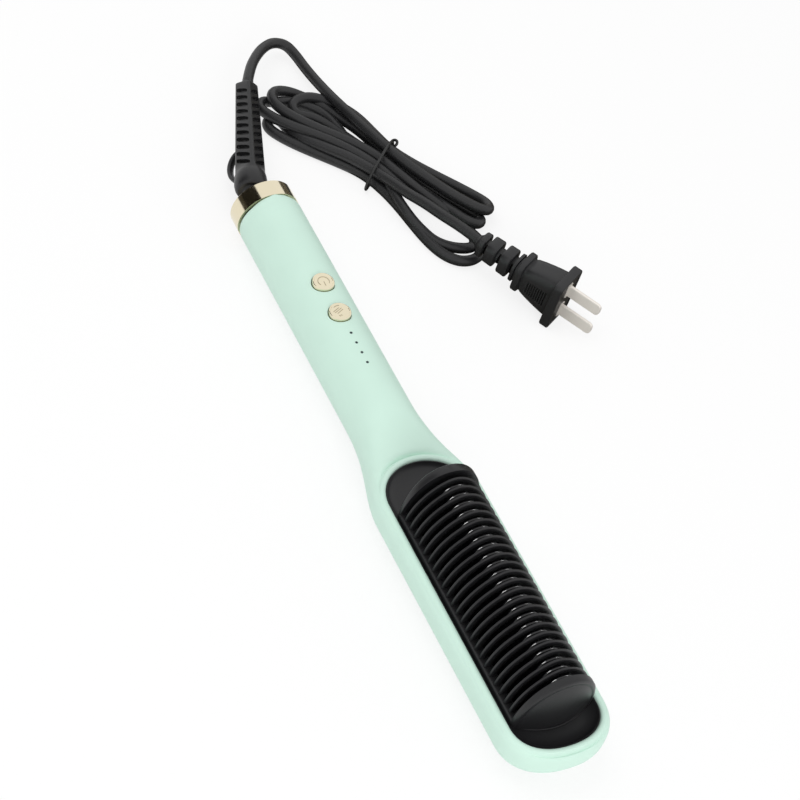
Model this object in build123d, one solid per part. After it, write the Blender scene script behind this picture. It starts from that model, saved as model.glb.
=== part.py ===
from build123d import *
import math
import os

# Hot comb with a swivelling mains cord. Millimetres. While drawing, X runs from the back of the
# end cap to the tip of the head, Y is across, Z is up with 0 on the handle's axis, and the comb
# faces up. write() then moves everything so that the origin is under the middle of the comb.

# casing
handle_radius = 14.5
casing_wall = 2.0
neck_start = 120.0          # the round handle ends here
neck_length = 52.0          # from there to the head's full width
crest_length = 32.0         # from there to where the neck's top has come down to the rim
head_half_width = 23.4
rim_height = 8.6            # top of the rim above the handle's axis
rim_width = 4.3             # rim beside the tray
rim_shoulder = 2.0          # rim behind the tray
tip_rim_width = 6.5         # rim in front of the tray
sole_cut = 0.2              # how much of the rounded belly is cut flat for the resting face
parting_height = -8.5       # the lower cover meets the upper casing here
rim_power = 6.0             # squareness of the head's upper half, 2 is an ellipse
belly_power = 2.3
section_steps = 28
neck_stations = 6

# end cap and the spigot that it sits on
cap_length = 8.7
cap_wall = 1.4
cap_back = 1.6
cap_edge = 0.5
cap_ledge_depth = 5.0       # how far in the ledge behind the brush plate reaches
cap_ledge_width = 1.1
spigot_wall = 1.6
spigot_collar = 4.5
cap_clearance = 0.05

# tray in the head
tray_depth = 4.1            # tray's top below the rim
tray_thickness = 1.6
tray_tuck = 1.2             # how far the tray reaches under the rim
tray_clearance = 0.1
opening_start_length = 18.0
opening_end_length = 14.1
opening_power = 2.27

# comb guard: thin arched ribs between two end plates, on a frame
rear_margin = 19.35         # from the start of the tray's opening to the guard
front_margin = 9.8          # from the guard to the end of the tray's opening
rib_count = 23
rib_pitch = 4.157
rib_thickness = 1.3
rib_depth = 3.2
rib_step = 0.6              # ribs stand in from the frame's sides by this
rib_height = 21.8           # above the frame
rib_power = 1.8
arch_steps = 14
frame_height = 4.5          # above the tray
frame_margin = 1.3          # frame's side to the rim
frame_wall = 4.6
rear_plate_thickness = 3.9
front_plate_thickness = 2.9
plate_bulge = 3.4           # extra reach of the end plates at their foot
plate_foot = 0.9            # thickness of the end plates at the corners of their foot
plate_power = 2.1
peg_radius = 1.3
peg_length = 2.6
peg_clearance = 0.05
peg_count = 3

# heated comb and what heats it
fin_thickness = 1.2
fin_side_gap = 0.6          # fins to the inside of the frame
fin_below_rib = 2.4         # fin tops below the rib tops
fin_shoulder_height = 9.5   # above the frame
fin_shoulder_step = 3.3
fin_neck_height = 13.0      # above the frame
fin_neck_half_width = 6.4
base_thickness = 3.5
base_seat = 1.2             # how far the base plate reaches under the frame
base_margin = 2.2
slot_clearance = 0.3
strip_thickness = 0.4
strip_width = 11.0
strip_margin = 3.0
heater_length = 26.0
heater_thickness = 2.4
heater_count = 3
heater_gap = 4.0
holder_thickness = 2.2
holder_half_width = 10.5
ear_half_width = 2.8
post_radius = 2.3
post_spread = 7.0
post_gap = 0.5
sensor_place = 44.0         # from the base plate's start
fuse_place = 58.0
bead_radius = 1.1
channel_side = 9.0
touch_gap = 0.05

# control board and what is on it
board_start = 34.0
board_end_gap = 2.0         # board's end before the neck
board_margin = 1.6
board_top = 3.0
board_thickness = 1.6
board_boss_radius = 2.5
board_boss_inset = (8.0, 5.5)
capacitor_size = (18.0, 8.0, 9.0)
capacitor_place = 50.0
triac_size = (10.0, 10.0, 4.6)
triac_place = 84.0
chip_size = (7.0, 6.0, 1.6)
chip_place = 69.7

# buttons
button_places = {"power": 61.1, "heat": 78.3}
button_radius = 4.8
button_gap = 0.35
button_proud = 1.0
button_edge = 0.35
button_travel = 0.6
button_flange_width = 1.1
button_flange_thickness = 1.2
button_seat_gap = 0.1
button_post_radius = 2.2
mark_depth = 0.25
mark_width = 0.45
switch_size = 6.0
switch_height = 3.5
plunger_radius = 1.7
plunger_proud = 1.2
plunger_root = 1.3
plunger_clearance = 0.1

# indicator lamps
lamp_first = 89.64
lamp_pitch = 5.45
lamp_count = 4
lamp_radius = 0.6
lamp_clearance = 0.05
lamp_chip = 0.8
pipe_bar_width = 3.2
pipe_bar_thickness = 1.3

# screws
screw_radius = 1.25
screw_head_radius = 2.4
screw_head_height = 1.6
screw_sink = 1.0
screw_length = 9.0
screw_clearance = 0.05
screw_place_cap = 15.3      # casing screw behind the cap
screw_place_neck = 8.0      # casing screw past the handle's end
screw_place_tray = 6.0      # tray screw past the start of the opening
screw_place_tip = 6.3       # tray screw past the front plate's back
boss_radius = 3.2
boss_gap = 0.1
small_screw_radius = 1.0
small_screw_head_radius = 1.9
small_screw_head_height = 1.0
small_screw_grip = 4.0

# swivel
swivel_radius = 4.0
swivel_clearance = 0.05
ball_radius = 5.4
ball_reach = 11.0           # ball centre behind the cap's back
cord_bore = 2.8
flange_radius = 9.0
flange_thickness = 1.5
flange_gap = 0.1
ring_thickness = 0.4
ring_width = 1.0
ring_radii = (5.0, 7.2)
brush_plate_thickness = 1.4
brush_width = 0.8
brush_plate_bore = 2.0

# cord guard
guard_angle = 22.0          # lean from the handle's axis towards +Y
guard_roll = 36.0
guard_length = 67.0
guard_base = 8.0
guard_base_side = 9.9
guard_end_side = 7.4
guard_corner = 1.2
socket_wall = 1.8
socket_gap = 0.2
socket_mouth = 73.0         # half angle of the socket's mouth
shoulder_length = 15.0
shoulder_radii = (6.9, 5.4)
notch_count = 11
notch_first = 13.8
notch_pitch = 4.5
notch_length = 2.0
notch_depth = 0.9
notch_share = 0.62          # notch width as a share of the face
loop_place = 15.0
loop_half_length = 9.5
loop_reach = 5.4
loop_band = 1.7
loop_width = 3.2
core_clearance = 0.1

# cord
cord_diameter = 5.0
lead_route = [
    (-80.9, 29.7, -0.8),
    (-89.6, 36.4, -2.4),
    (-96.6, 43.6, -4.4),
    (-101.0, 51.0, -6.4),
    (-100.0, 57.4, -8.0),
    (-94.0, 60.0, -9.2),
    (-83.8, 61.4, -9.8),
    (-73.0, 62.9, -9.2),
    (-61.0, 64.3, -7.4),
    (-48.8, 66.7, -5.8),
    (-38.6, 69.0, -4.9),
]
tail_route = [
    (6.5, 71.4, -4.6),
    (15.6, 75.8, -3.0),
    (24.6, 79.1, -1.7),
    (33.0, 83.1, -0.7),
    (40.2, 86.4, -0.3),
]
hank_outline = [
    (-7.8, 58.1), (-19.5, 48.6), (-31.0, 37.6), (-41.0, 29.6), (-51.5, 27.2), (-62.0, 28.0),
    (-71.5, 33.5), (-76.5, 41.5), (-75.0, 50.0), (-68.5, 57.5), (-56.0, 64.5), (-41.0, 71.6),
    (-27.4, 80.9), (-12.0, 94.5), (2.5, 106.0), (12.5, 110.6), (20.0, 109.6), (25.5, 104.0),
    (31.0, 97.0), (41.5, 93.0), (49.5, 86.5), (48.5, 77.5), (40.5, 71.0), (28.0, 67.6),
    (11.0, 65.2), (-0.5, 61.6),
]
crown_outline = [
    (-7.8, 58.1), (-19.5, 50.6), (-33.0, 40.6), (-48.0, 34.0), (-61.0, 36.0), (-67.0, 43.0),
    (-63.0, 53.0), (-48.0, 63.5), (-27.4, 80.9), (-12.0, 92.0), (2.0, 102.0), (14.0, 105.0),
    (22.0, 99.0), (25.0, 90.0), (14.0, 76.0), (2.0, 66.0),
]
hank_height = 6.5
crown_height = 12.6
tie_centre = (-17.6, 69.5)
tie_angle = -49.3
tie_half_length = 15.2
tie_width = 2.2
tie_wire = 0.8
tie_clearance = 0.05

# plug
plug_place = (85.3, 111.3)  # centre of the front plate
plug_yaw = 30.2
plug_pitch = -1.7
plate_height = 25.9
plate_width = 16.4
plate_thickness = 3.8
plate_corner = 2.6
neck_reach = 44.5           # end of the plug's neck behind the front plate
collar_place = 22.1
collar_length = 3.0
collar_size = (17.4, 14.6)
body_back_size = (15.6, 12.6)
body_front_size = (22.8, 13.4)
body_corner = 4.0
plug_neck_radius = 3.7
bead_rows = ((43.6, 1.8, 9.6), (38.5, 5.2, 11.2), (31.0, 4.8, 12.0), (25.6, 2.2, 12.4))
bead_flatness = 0.92
bead_corner = 2.6
grip_count = 7
grip_pitch = 1.9
grip_width = 0.9
grip_height = 9.0
grip_depth = 0.5
grip_first = 6.6            # first groove behind the front plate
plug_floor_gap = 0.02
pin_spacing = 12.7
pin_width = 6.35
pin_thickness = 1.5
pin_length = 16.6
pin_root = 9.0
pin_end_radius = 2.6
pin_clearance = 0.02

# wires inside the casing
wire_radius = 0.8
thin_wire_radius = 0.45
wire_bend = 3.0

floor = -handle_radius
cavity_radius = handle_radius - casing_wall
belly_depth = handle_radius + sole_cut
neck_end = neck_start + neck_length
crest_end = neck_start + crest_length
tray_level = rim_height - tray_depth
tray_underside = tray_level - tray_thickness
opening_half_width = head_half_width - rim_width
opening_start = crest_end + rim_shoulder
comb_start = opening_start + rear_margin
rib_gap = rib_pitch - rib_thickness
rib_first = comb_start + rear_plate_thickness + rib_gap + rib_thickness / 2
rib_last = rib_first + (rib_count - 1) * rib_pitch
front_plate_start = rib_last + rib_thickness / 2 + rib_gap
front_plate_end = front_plate_start + front_plate_thickness + plate_bulge
opening_end = front_plate_end + front_margin
tip_end = opening_end + tip_rim_width
tip_start = tip_end - head_half_width
frame_half_width = opening_half_width - frame_margin
frame_inside = frame_half_width - frame_wall
frame_top = tray_level + frame_height
rib_half_width = frame_half_width - rib_step
rib_top = frame_top + rib_height
fin_first = rib_first + rib_pitch / 2
fin_last = rib_last + rib_pitch / 2
fin_half_width = frame_inside - fin_side_gap
base_start = fin_first - fin_thickness / 2 - base_margin
base_end = fin_last + fin_thickness / 2 + base_margin
base_half_width = frame_inside + base_seat
base_underside = tray_level - base_thickness
strip_height = strip_thickness + heater_thickness + strip_thickness
holder_top = base_underside - strip_height
holder_underside = holder_top - holder_thickness
post_places = (base_start - slot_clearance - post_gap - post_radius,
               base_end + slot_clearance + post_gap + post_radius)
board_end = neck_start - board_end_gap
board_underside = board_top - board_thickness
board_half_width = math.sqrt(cavity_radius ** 2 - board_top ** 2) - board_margin
board_bosses = (board_start + board_boss_inset[0], board_end - board_boss_inset[1])
button_hole_radius = button_radius + button_gap
button_flange_radius = button_hole_radius + button_flange_width
button_top = handle_radius + button_proud
button_flange_top = math.sqrt(cavity_radius ** 2 - button_flange_radius ** 2) - button_seat_gap
switch_top = board_top + switch_height
plunger_top = switch_top + plunger_proud
spigot_start = cap_ledge_depth + brush_plate_thickness
spigot_radius = handle_radius - cap_wall - cap_clearance
flange_front = cap_back + flange_gap + flange_thickness
ring_front = flange_front + ring_thickness
screw_pilot_top = floor + screw_sink + screw_head_height + screw_length + 1
casing_screws = (cap_length + screw_place_cap, neck_start + screw_place_neck)
tray_screws = (opening_start + screw_place_tray, front_plate_start + screw_place_tip)
stem_back = ball_reach + math.sqrt(ball_radius ** 2 - cord_bore ** 2)
middle_x = (tip_end - stem_back) / 2
lean = math.radians(guard_angle)
roll = math.radians(guard_roll)
guard_axis = Vector(-math.cos(lean), math.sin(lean), 0)
guard_side = Vector(math.sin(lean), math.cos(lean), 0) * math.cos(roll) + Vector(0, 0, math.sin(roll))
guard_plane = Plane(origin=(-ball_reach, 0, 0), x_dir=guard_side, z_dir=guard_axis)
guard_end = Vector(-ball_reach, 0, 0) + guard_axis * guard_length
yaw = math.radians(plug_yaw)
pitch = math.radians(plug_pitch)
plug_axis = Vector(math.cos(pitch) * math.cos(yaw), math.cos(pitch) * math.sin(yaw), math.sin(pitch))
plug_up = Vector(-math.sin(pitch) * math.cos(yaw), -math.sin(pitch) * math.sin(yaw), math.cos(pitch))
plug_height = floor + plug_floor_gap + plate_height / 2 * math.cos(pitch)
plug_plane = Plane(origin=(*plug_place, plug_height), x_dir=plug_up, z_dir=plug_axis)
plug_neck_end = plug_plane.from_local_coords(Vector(0, 0, -neck_reach))


def write(node, shape):
    export_step(Pos(-middle_x, 0, handle_radius) * shape, f"parts/{node}.step")


def joined(pieces):
    """Separate solids that share one node."""
    return Compound(children=[solid for piece in pieces for solid in piece.solids()])


def block(x, y, z):
    size = (x[1] - x[0], y[1] - y[0], z[1] - z[0])
    return Pos(x[0], y[0], z[0]) * Box(*size, align=(Align.MIN, Align.MIN, Align.MIN))


def rod_x(radius, start, end, y=0.0, z=0.0):
    rod = Cylinder(radius, end - start, align=(Align.CENTER, Align.CENTER, Align.MIN))
    return Pos(start, y, z) * Rot(0, 90, 0) * rod


def rod_z(radius, low, high, x, y=0.0):
    rod = Cylinder(radius, high - low, align=(Align.CENTER, Align.CENTER, Align.MIN))
    return Pos(x, y, low) * rod


def wire(points, radius):
    """A round wire through points, with its corners bent."""
    path = FilletPolyline(*points, radius=wire_bend)
    start = Plane(origin=path @ 0, z_dir=path % 0)
    return sweep(start * Circle(radius), path=path)


def ease(share, early=1.0):
    share = min(max(share, 0.0), 1.0) ** early
    return share * share * (3 - 2 * share)


def power_point(angle, half_width, height, power):
    c, s = math.cos(angle), math.sin(angle)
    across = math.copysign(abs(c) ** (2 / power), c) * half_width
    up = math.copysign(abs(s) ** (2 / power), s) * height
    return across, up


def casing_section(x, inset):
    """Cross section of the casing at x, set in from its skin by inset."""
    widening = ease((x - neck_start) / neck_length, 1.15)
    lowering = ease((x - neck_start) / crest_length)
    start = handle_radius - inset
    top_end = tray_level if inset else rim_height
    half_width = start + widening * (head_half_width - inset - start)
    top = start + lowering * (top_end - start)
    bottom = start + widening * (belly_depth - inset - start)
    points = []
    for step in range(section_steps):
        angle = 2 * math.pi * step / section_steps
        upper = 2 * step <= section_steps
        power = 2 + widening * ((rim_power if upper else belly_power) - 2)
        points.append(Vector(x, *power_point(angle, half_width, top if upper else bottom, power)))
    spacing = [step / section_steps for step in range(section_steps + 1)]
    return Face(Wire([Edge.make_spline(points, periodic=True, parameters=spacing)]))


def casing_form(inset, start):
    """The casing as one solid, set in from its skin by inset."""
    stations = [neck_start + neck_length * index / neck_stations for index in range(neck_stations + 1)]
    sections = [casing_section(x, inset) for x in stations]
    handle = extrude(sections[0], neck_start - start, dir=(-1, 0, 0))
    head = extrude(sections[-1], tip_start - neck_end, dir=(1, 0, 0))
    near = block((start - 1, tip_end + 1), (-2 * head_half_width, 0), (-50, 50))
    profile = sections[-1].moved(Pos(tip_start - neck_end, 0, 0)) & near
    tip = revolve(profile, Axis((tip_start, 0, 0), (0, 0, 1)), 90)
    half = ((handle + loft(sections) + head) & near) + tip
    return half + mirror(half, about=Plane.XZ)


def opening_end_curve(x, reach, half_width, level):
    points = []
    for step in range(9):
        angle = math.radians(-90 + 22.5 * step)
        along, across = power_point(angle, reach, half_width, opening_power)
        points.append(Vector(x + along, across, level))
    side = math.copysign(1, reach)
    return Edge.make_spline(points, tangents=[Vector(side, 0, 0), Vector(-side, 0, 0)])


def opening_outline(grow, level):
    """The tray's opening, grown by grow, as a flat face at level."""
    half_width = opening_half_width + grow
    start_x = opening_start + opening_start_length
    end_x = opening_end - opening_end_length
    start = opening_end_curve(start_x, -opening_start_length - grow, half_width, level)
    end = opening_end_curve(end_x, opening_end_length + grow, half_width, level)
    sides = [Edge.make_line(Vector(start_x, y, level), Vector(end_x, y, level))
             for y in (-half_width, half_width)]
    return Face(Wire([start, end, *sides]))


def casing_cavity():
    """The hollow inside the casing, with the screw and board bosses standing in it."""
    sole = block((-1, tip_end + 1), (-50, 50), (floor - 10, floor + casing_wall))
    cavity = casing_form(casing_wall, cap_length - 1) - sole
    for place in casing_screws:
        cavity -= rod_z(boss_radius, floor, handle_radius, place)
    for place in tray_screws:
        cavity -= rod_z(boss_radius, floor, parting_height, place)
    for place in board_bosses:
        cavity -= rod_z(board_boss_radius, board_top, handle_radius, place)
    return cavity


def casing_shell():
    """Both casing halves in one, with the tray's opening, the spigot and the holes."""
    sole = block((-1, tip_end + 1), (-50, 50), (floor - 10, floor))
    shell = casing_form(0, cap_length) - sole - casing_cavity()
    inside = spigot_radius - spigot_wall
    collar_end = cap_length + spigot_collar
    shell += rod_x(spigot_radius, spigot_start, collar_end) - rod_x(inside, spigot_start - 1, collar_end + 1)
    shell -= extrude(opening_outline(0, tray_level - 1), handle_radius, dir=(0, 0, 1))
    seat = tray_tuck + tray_clearance
    shell -= extrude(opening_outline(seat, 0), tray_level, dir=(0, 0, 1))
    for place in button_places.values():
        shell -= rod_z(button_hole_radius, 0, handle_radius + 1, place)
    for place in lamp_places():
        shell -= rod_z(lamp_radius + lamp_clearance, 0, handle_radius + 1, place)
    return shell


def upper_casing(shell):
    casing = shell & block((-1, tip_end + 1), (-50, 50), (parting_height, 50))
    for place in casing_screws:
        casing -= rod_z(screw_radius + screw_clearance, parting_height - 1, screw_pilot_top, place)
    for place in board_bosses:
        pilot = small_screw_radius + screw_clearance
        casing -= rod_z(pilot, board_top - 1, board_top + small_screw_grip + 1, place)
    return casing


def lower_casing(shell):
    casing = shell & block((-1, tip_end + 1), (-50, 50), (floor - 1, parting_height))
    for place in casing_screws + tray_screws:
        head = floor + screw_sink + screw_head_height
        casing -= rod_z(screw_head_radius + screw_clearance, floor - 1, head, place)
        casing -= rod_z(screw_radius + screw_clearance, floor - 1, parting_height + 1, place)
    return casing


def end_cap():
    inside = handle_radius - cap_wall
    cap = rod_x(handle_radius, 0, cap_length)
    cap = chamfer(cap.edges().filter_by(GeomType.CIRCLE).sort_by(Axis.X)[0], cap_edge)
    cap -= rod_x(inside, cap_ledge_depth, cap_length + 1)
    cap -= rod_x(inside - cap_ledge_width, cap_back, cap_ledge_depth + 1)
    return cap - rod_x(swivel_radius + swivel_clearance, -1, cap_back + 1)


def screw(place, head_low, radius, head_radius, head_height, length, y=0.0):
    shank_low = head_low + head_height
    return (rod_z(head_radius, head_low, shank_low, place, y)
            + rod_z(radius, shank_low, shank_low + length, place, y))


def casing_screw_set():
    size = (screw_radius, screw_head_radius, screw_head_height, screw_length)
    return joined([screw(place, floor + screw_sink, *size) for place in casing_screws + tray_screws])


def comb_tray():
    tray = extrude(opening_outline(tray_tuck, tray_underside), tray_thickness, dir=(0, 0, 1))
    tray -= block((base_start - slot_clearance, base_end + slot_clearance),
                  (-base_half_width - slot_clearance, base_half_width + slot_clearance),
                  (tray_underside - 1, tray_level + 1))
    for x, y in peg_places():
        tray -= rod_z(peg_radius + peg_clearance, tray_underside - 1, tray_level + 1, x, y)
    for place in tray_screws:
        tray += rod_z(boss_radius, parting_height + boss_gap, tray_underside, place)
        tray -= rod_z(screw_radius + screw_clearance, parting_height, screw_pilot_top, place)
    for x, y in post_points():
        tray += rod_z(post_radius, holder_top, tray_underside, x, y)
        tray -= rod_z(small_screw_radius + screw_clearance, holder_top - 1, tray_underside - 0.5, x, y)
    return tray


def peg_places():
    side = (frame_half_width + base_half_width + slot_clearance) / 2
    span = rib_last - rib_first
    return [(rib_first + span * (index + 0.5) / peg_count, y)
            for index in range(peg_count) for y in (-side, side)]


def post_points():
    return [(x, y) for x in post_places for y in (-post_spread, post_spread)]


def arch_curve(x, half_width, foot, height, power):
    points = []
    for step in range(arch_steps + 1):
        angle = math.pi * step / arch_steps
        across, up = power_point(angle, half_width, height, power)
        points.append(Vector(x, across, foot + max(up, 0)))
    return Edge.make_spline(points)


def arch_face(x, half_width, foot, height, power):
    top = arch_curve(x, half_width, foot, height, power)
    base = Edge.make_line(Vector(x, -half_width, foot), Vector(x, half_width, foot))
    return Face(Wire([top, base]))


def rib(x):
    outside = arch_face(x, rib_half_width, frame_top, rib_height, rib_power)
    inside = arch_face(x - 1, rib_half_width - rib_depth, frame_top, rib_height - rib_depth, rib_power)
    arch = extrude(outside, rib_thickness, dir=(1, 0, 0))
    return arch - extrude(inside, rib_thickness + 2, dir=(1, 0, 0))


def end_plate(back, thickness, side):
    """An arched plate whose outer face swells towards its foot; side is its outward way in X."""
    def plan(level, middle, corner):
        ends = [Vector(back, y, level) for y in (-frame_half_width, frame_half_width)]
        corners = [Vector(back + side * corner, end.Y, level) for end in ends]
        swell = Edge.make_three_point_arc(corners[0], Vector(back + side * middle, 0, level), corners[1])
        sides = [Edge.make_line(end, corner_point) for end, corner_point in zip(ends, corners)]
        return Face(Wire([Edge.make_line(*ends), *sides, swell]))
    foot = plan(tray_level, thickness + plate_bulge, plate_foot)
    head = plan(rib_top + 1, thickness, thickness - 0.3)
    swell = loft([foot, head])
    reach = thickness + plate_bulge + 1
    low_x = back if side > 0 else back - reach
    arch = extrude(arch_face(low_x, rib_half_width, frame_top, rib_height, plate_power), reach, dir=(1, 0, 0))
    legs = block((low_x, low_x + reach), (-frame_half_width, frame_half_width), (tray_level, frame_top))
    return swell & (arch + legs)


def comb_guard():
    guard_end_x = front_plate_start + front_plate_thickness
    guard = block((comb_start, front_plate_start), (-frame_half_width, frame_half_width),
                  (tray_level, frame_top))
    guard -= block((comb_start + rear_plate_thickness, front_plate_start),
                   (-frame_inside, frame_inside), (tray_level - 1, frame_top + 1))
    guard += end_plate(comb_start + rear_plate_thickness, rear_plate_thickness, -1)
    guard += end_plate(front_plate_start, guard_end_x - front_plate_start, 1)
    for index in range(rib_count):
        guard += rib(rib_first + index * rib_pitch - rib_thickness / 2)
    for x, y in peg_places():
        guard += rod_z(peg_radius, tray_level - peg_length, tray_level, x, y)
    return guard


def fin(x):
    low = tray_level - base_thickness / 2
    half = [(fin_half_width, low), (fin_half_width, frame_top),
            (fin_half_width - fin_shoulder_step, frame_top + fin_shoulder_height),
            (fin_neck_half_width, frame_top + fin_neck_height)]
    right = [Vector(x, y, z) for y, z in half]
    left = [Vector(x, -y, z) for y, z in half]
    lines = [Edge.make_line(a, b) for side in (right, left) for a, b in zip(side, side[1:])]
    crown = Vector(x, 0, rib_top - fin_below_rib)
    lines.append(Edge.make_three_point_arc(right[-1], crown, left[-1]))
    lines.append(Edge.make_line(left[0], right[0]))
    return extrude(Face(Wire(lines)), fin_thickness, dir=(1, 0, 0))


def heating_comb():
    comb = block((base_start, base_end), (-base_half_width, base_half_width), (base_underside, tray_level))
    for index in range(rib_count):
        comb += fin(fin_first + index * rib_pitch - fin_thickness / 2)
    return comb


def heater_row():
    """Start of each heater along X."""
    total = heater_count * heater_length + (heater_count - 1) * heater_gap
    start = (base_start + base_end - total) / 2
    return [start + index * (heater_length + heater_gap) for index in range(heater_count)]


def ptc_heaters():
    half = strip_width / 2
    high = base_underside - strip_thickness
    return joined([block((x, x + heater_length), (-half, half), (high - heater_thickness, high))
                   for x in heater_row()])


def electrode_strips():
    half = strip_width / 2
    along = (base_start + strip_margin, base_end - strip_margin)
    upper = block(along, (-half, half), (base_underside - strip_thickness, base_underside))
    lower = block(along, (-half, half), (holder_top, holder_top + strip_thickness))
    return joined([upper, lower])


def heater_holder():
    holder = block((base_start, base_end), (-holder_half_width, holder_half_width),
                   (holder_underside, holder_top))
    for x, y in post_points():
        inner = base_start + 1 if x < base_start else base_end - 1
        outer = x - ear_half_width if x < base_start else x + ear_half_width
        holder += block((min(inner, outer), max(inner, outer)),
                        (y - ear_half_width, y + ear_half_width), (holder_underside, holder_top))
        holder -= rod_z(small_screw_radius + screw_clearance, holder_underside - 1, holder_top + 1, x, y)
    return holder


def heater_screws():
    low = holder_underside - small_screw_head_height
    length = holder_thickness + small_screw_grip
    size = (small_screw_radius, small_screw_head_radius, small_screw_head_height, length)
    return joined([screw(x, low, *size, y=y) for x, y in post_points()])


def bead_height():
    return base_underside - touch_gap - bead_radius


def temperature_sensor():
    start = base_start + sensor_place
    return rod_x(bead_radius, start, start + 5, -channel_side, bead_height())


def thermal_fuse():
    start = base_start + fuse_place
    body = rod_x(bead_radius, start, start + 9, channel_side, bead_height())
    return body + rod_x(thin_wire_radius, start - 7, start + 16, channel_side, bead_height())


def control_board():
    board = block((board_start, board_end), (-board_half_width, board_half_width),
                  (board_underside, board_top))
    for place in board_bosses:
        hole = small_screw_radius + screw_clearance
        board -= rod_z(hole, board_underside - 1, board_top + 1, place)
    return board


def board_screws():
    low = board_underside - small_screw_head_height
    length = board_thickness + small_screw_grip
    size = (small_screw_radius, small_screw_head_radius, small_screw_head_height, length)
    return joined([screw(place, low, *size) for place in board_bosses])


def under_board(place, size):
    return block((place, place + size[0]), (-size[1] / 2, size[1] / 2),
                 (board_underside - size[2], board_underside))


def control_chip():
    half = chip_size[1] / 2
    return block((chip_place - chip_size[0] / 2, chip_place + chip_size[0] / 2),
                 (-half, half), (board_top, board_top + chip_size[2]))


def switch_housings():
    housings = []
    for place in button_places.values():
        half = switch_size / 2
        housing = block((place - half, place + half), (-half, half), (board_top, switch_top))
        well = switch_top - plunger_root - button_travel - plunger_clearance
        housings.append(housing - rod_z(plunger_radius + plunger_clearance, well, switch_top + 1, place))
    return joined(housings)


def plunger(place):
    return rod_z(plunger_radius, switch_top - plunger_root, plunger_top, place)


def button(place):
    """Cap, retaining flange and the post that meets the switch's plunger."""
    cap = rod_z(button_radius, button_flange_top - 0.1, button_top, place)
    cap = chamfer(cap.edges().filter_by(GeomType.CIRCLE).sort_by(Axis.Z)[-1], button_edge)
    flange_low = button_flange_top - button_flange_thickness
    cap += rod_z(button_flange_radius, flange_low, button_flange_top, place)
    return cap + rod_z(button_post_radius, plunger_top, flange_low, place)


def power_button():
    place = button_places["power"]
    low = button_top - mark_depth
    ring = rod_z(2.6, low, button_top + 1, place) - rod_z(2.6 - mark_width, low, button_top + 1, place)
    gap = block((place - 3, place), (-0.8, 0.8), (low, button_top + 1))
    line = block((place - 3, place - 0.2), (-mark_width / 2, mark_width / 2), (low, button_top + 1))
    return button(place) - (ring - gap) - line


def heat_button():
    """Three short bars, the mark for more or less heat."""
    place = button_places["heat"]
    body = button(place)
    for index, half in enumerate((1.2, 1.8, 2.4)):
        x = place - 1.7 + 1.7 * index
        body -= block((x - mark_width / 2, x + mark_width / 2), (-half, half),
                      (button_top - mark_depth, button_top + 1))
    return body


def lamp_places():
    return [lamp_first + index * lamp_pitch for index in range(lamp_count)]


def indicator_leds():
    half = lamp_chip / 2
    return joined([block((place - half, place + half), (-half, half), (board_top, board_top + lamp_chip))
                   for place in lamp_places()])


def light_pipe():
    half = pipe_bar_width / 2
    bar_top = math.sqrt(cavity_radius ** 2 - half ** 2) - touch_gap
    pipe = block((lamp_first - half, lamp_places()[-1] + half), (-half, half),
                 (bar_top - pipe_bar_thickness, bar_top))
    for place in lamp_places():
        pipe += rod_z(lamp_radius, board_top + lamp_chip + touch_gap, handle_radius - touch_gap, place)
    return pipe


def swivel_stem():
    stem = rod_x(swivel_radius, -ball_reach, cap_back + flange_gap)
    stem += Pos(-ball_reach, 0, 0) * Sphere(ball_radius)
    stem += rod_x(flange_radius, cap_back + flange_gap, flange_front)
    return stem - rod_x(cord_bore, -2 * ball_reach, flange_front + 1)


def slip_rings():
    rings = []
    for radius in ring_radii:
        outer = rod_x(radius + ring_width / 2, flange_front, ring_front)
        rings.append(outer - rod_x(radius - ring_width / 2, flange_front - 1, ring_front + 1))
    return joined(rings)


def swivel_leads():
    side = cord_bore - wire_radius - touch_gap
    return joined([rod_x(wire_radius, -ball_reach - 3, flange_front, y) for y in (-side, side)])


def brush_plate():
    radius = handle_radius - cap_wall - cap_clearance
    return (rod_x(radius, cap_ledge_depth, spigot_start)
            - rod_x(brush_plate_bore, cap_ledge_depth - 1, spigot_start + 1))


def brush_springs():
    half = brush_width / 2
    brushes = []
    for radius, side in zip(ring_radii, (1, -1)):
        y = radius * side
        brushes.append(block((ring_front, cap_ledge_depth), (y - half, y + half), (-half, half)))
    return joined(brushes)


def brush_leads():
    leads = []
    on_board = board_top + wire_radius + touch_gap
    for side in (-1, 1):
        leads.append(wire([(spigot_start + 0.3, side * 3.6, 0), (cap_length + 6, side * 5.2, 1.6),
                           (board_start - 7, side * 6.6, on_board + 0.8),
                           (board_start + 4, side * 6.6, on_board)], wire_radius))
    return joined(leads)


def heater_leads():
    leads = []
    on_board = board_top + wire_radius + touch_gap
    strip_start = base_start + strip_margin
    ends = ((1, base_underside - wire_radius - touch_gap), (-1, holder_top + wire_radius + touch_gap))
    for side, level in ends:
        leads.append(wire([(board_end - 6, side * 5, on_board), (board_end + 3, side * 5, on_board),
                           (neck_start + 20, side * 5.2, level + 0.4), (post_places[0] - 11, side * 5.4, level),
                           (post_places[0], side * 2.6, level + 0.1), (strip_start - touch_gap, side * 2.4, level)],
                          wire_radius))
    return joined(leads)


def sensor_leads():
    leads = []
    on_board = board_top + thin_wire_radius + touch_gap
    far = -channel_side - 1.6
    for offset in (-0.6, 0.6):
        leads.append(wire([(board_end - 8, -8.2 + offset, on_board), (board_end + 3, -8.3 + offset, on_board),
                           (neck_start + 24, -9.0 + offset, -1.0), (post_places[0] - 8, far + offset, -1.2),
                           (post_places[0] + 4, far + offset, -0.9), (base_start + 16, -channel_side + offset, -0.7),
                           (base_start + sensor_place - 0.3, -channel_side + offset, bead_height())],
                          thin_wire_radius))
    return joined(leads)


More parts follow.
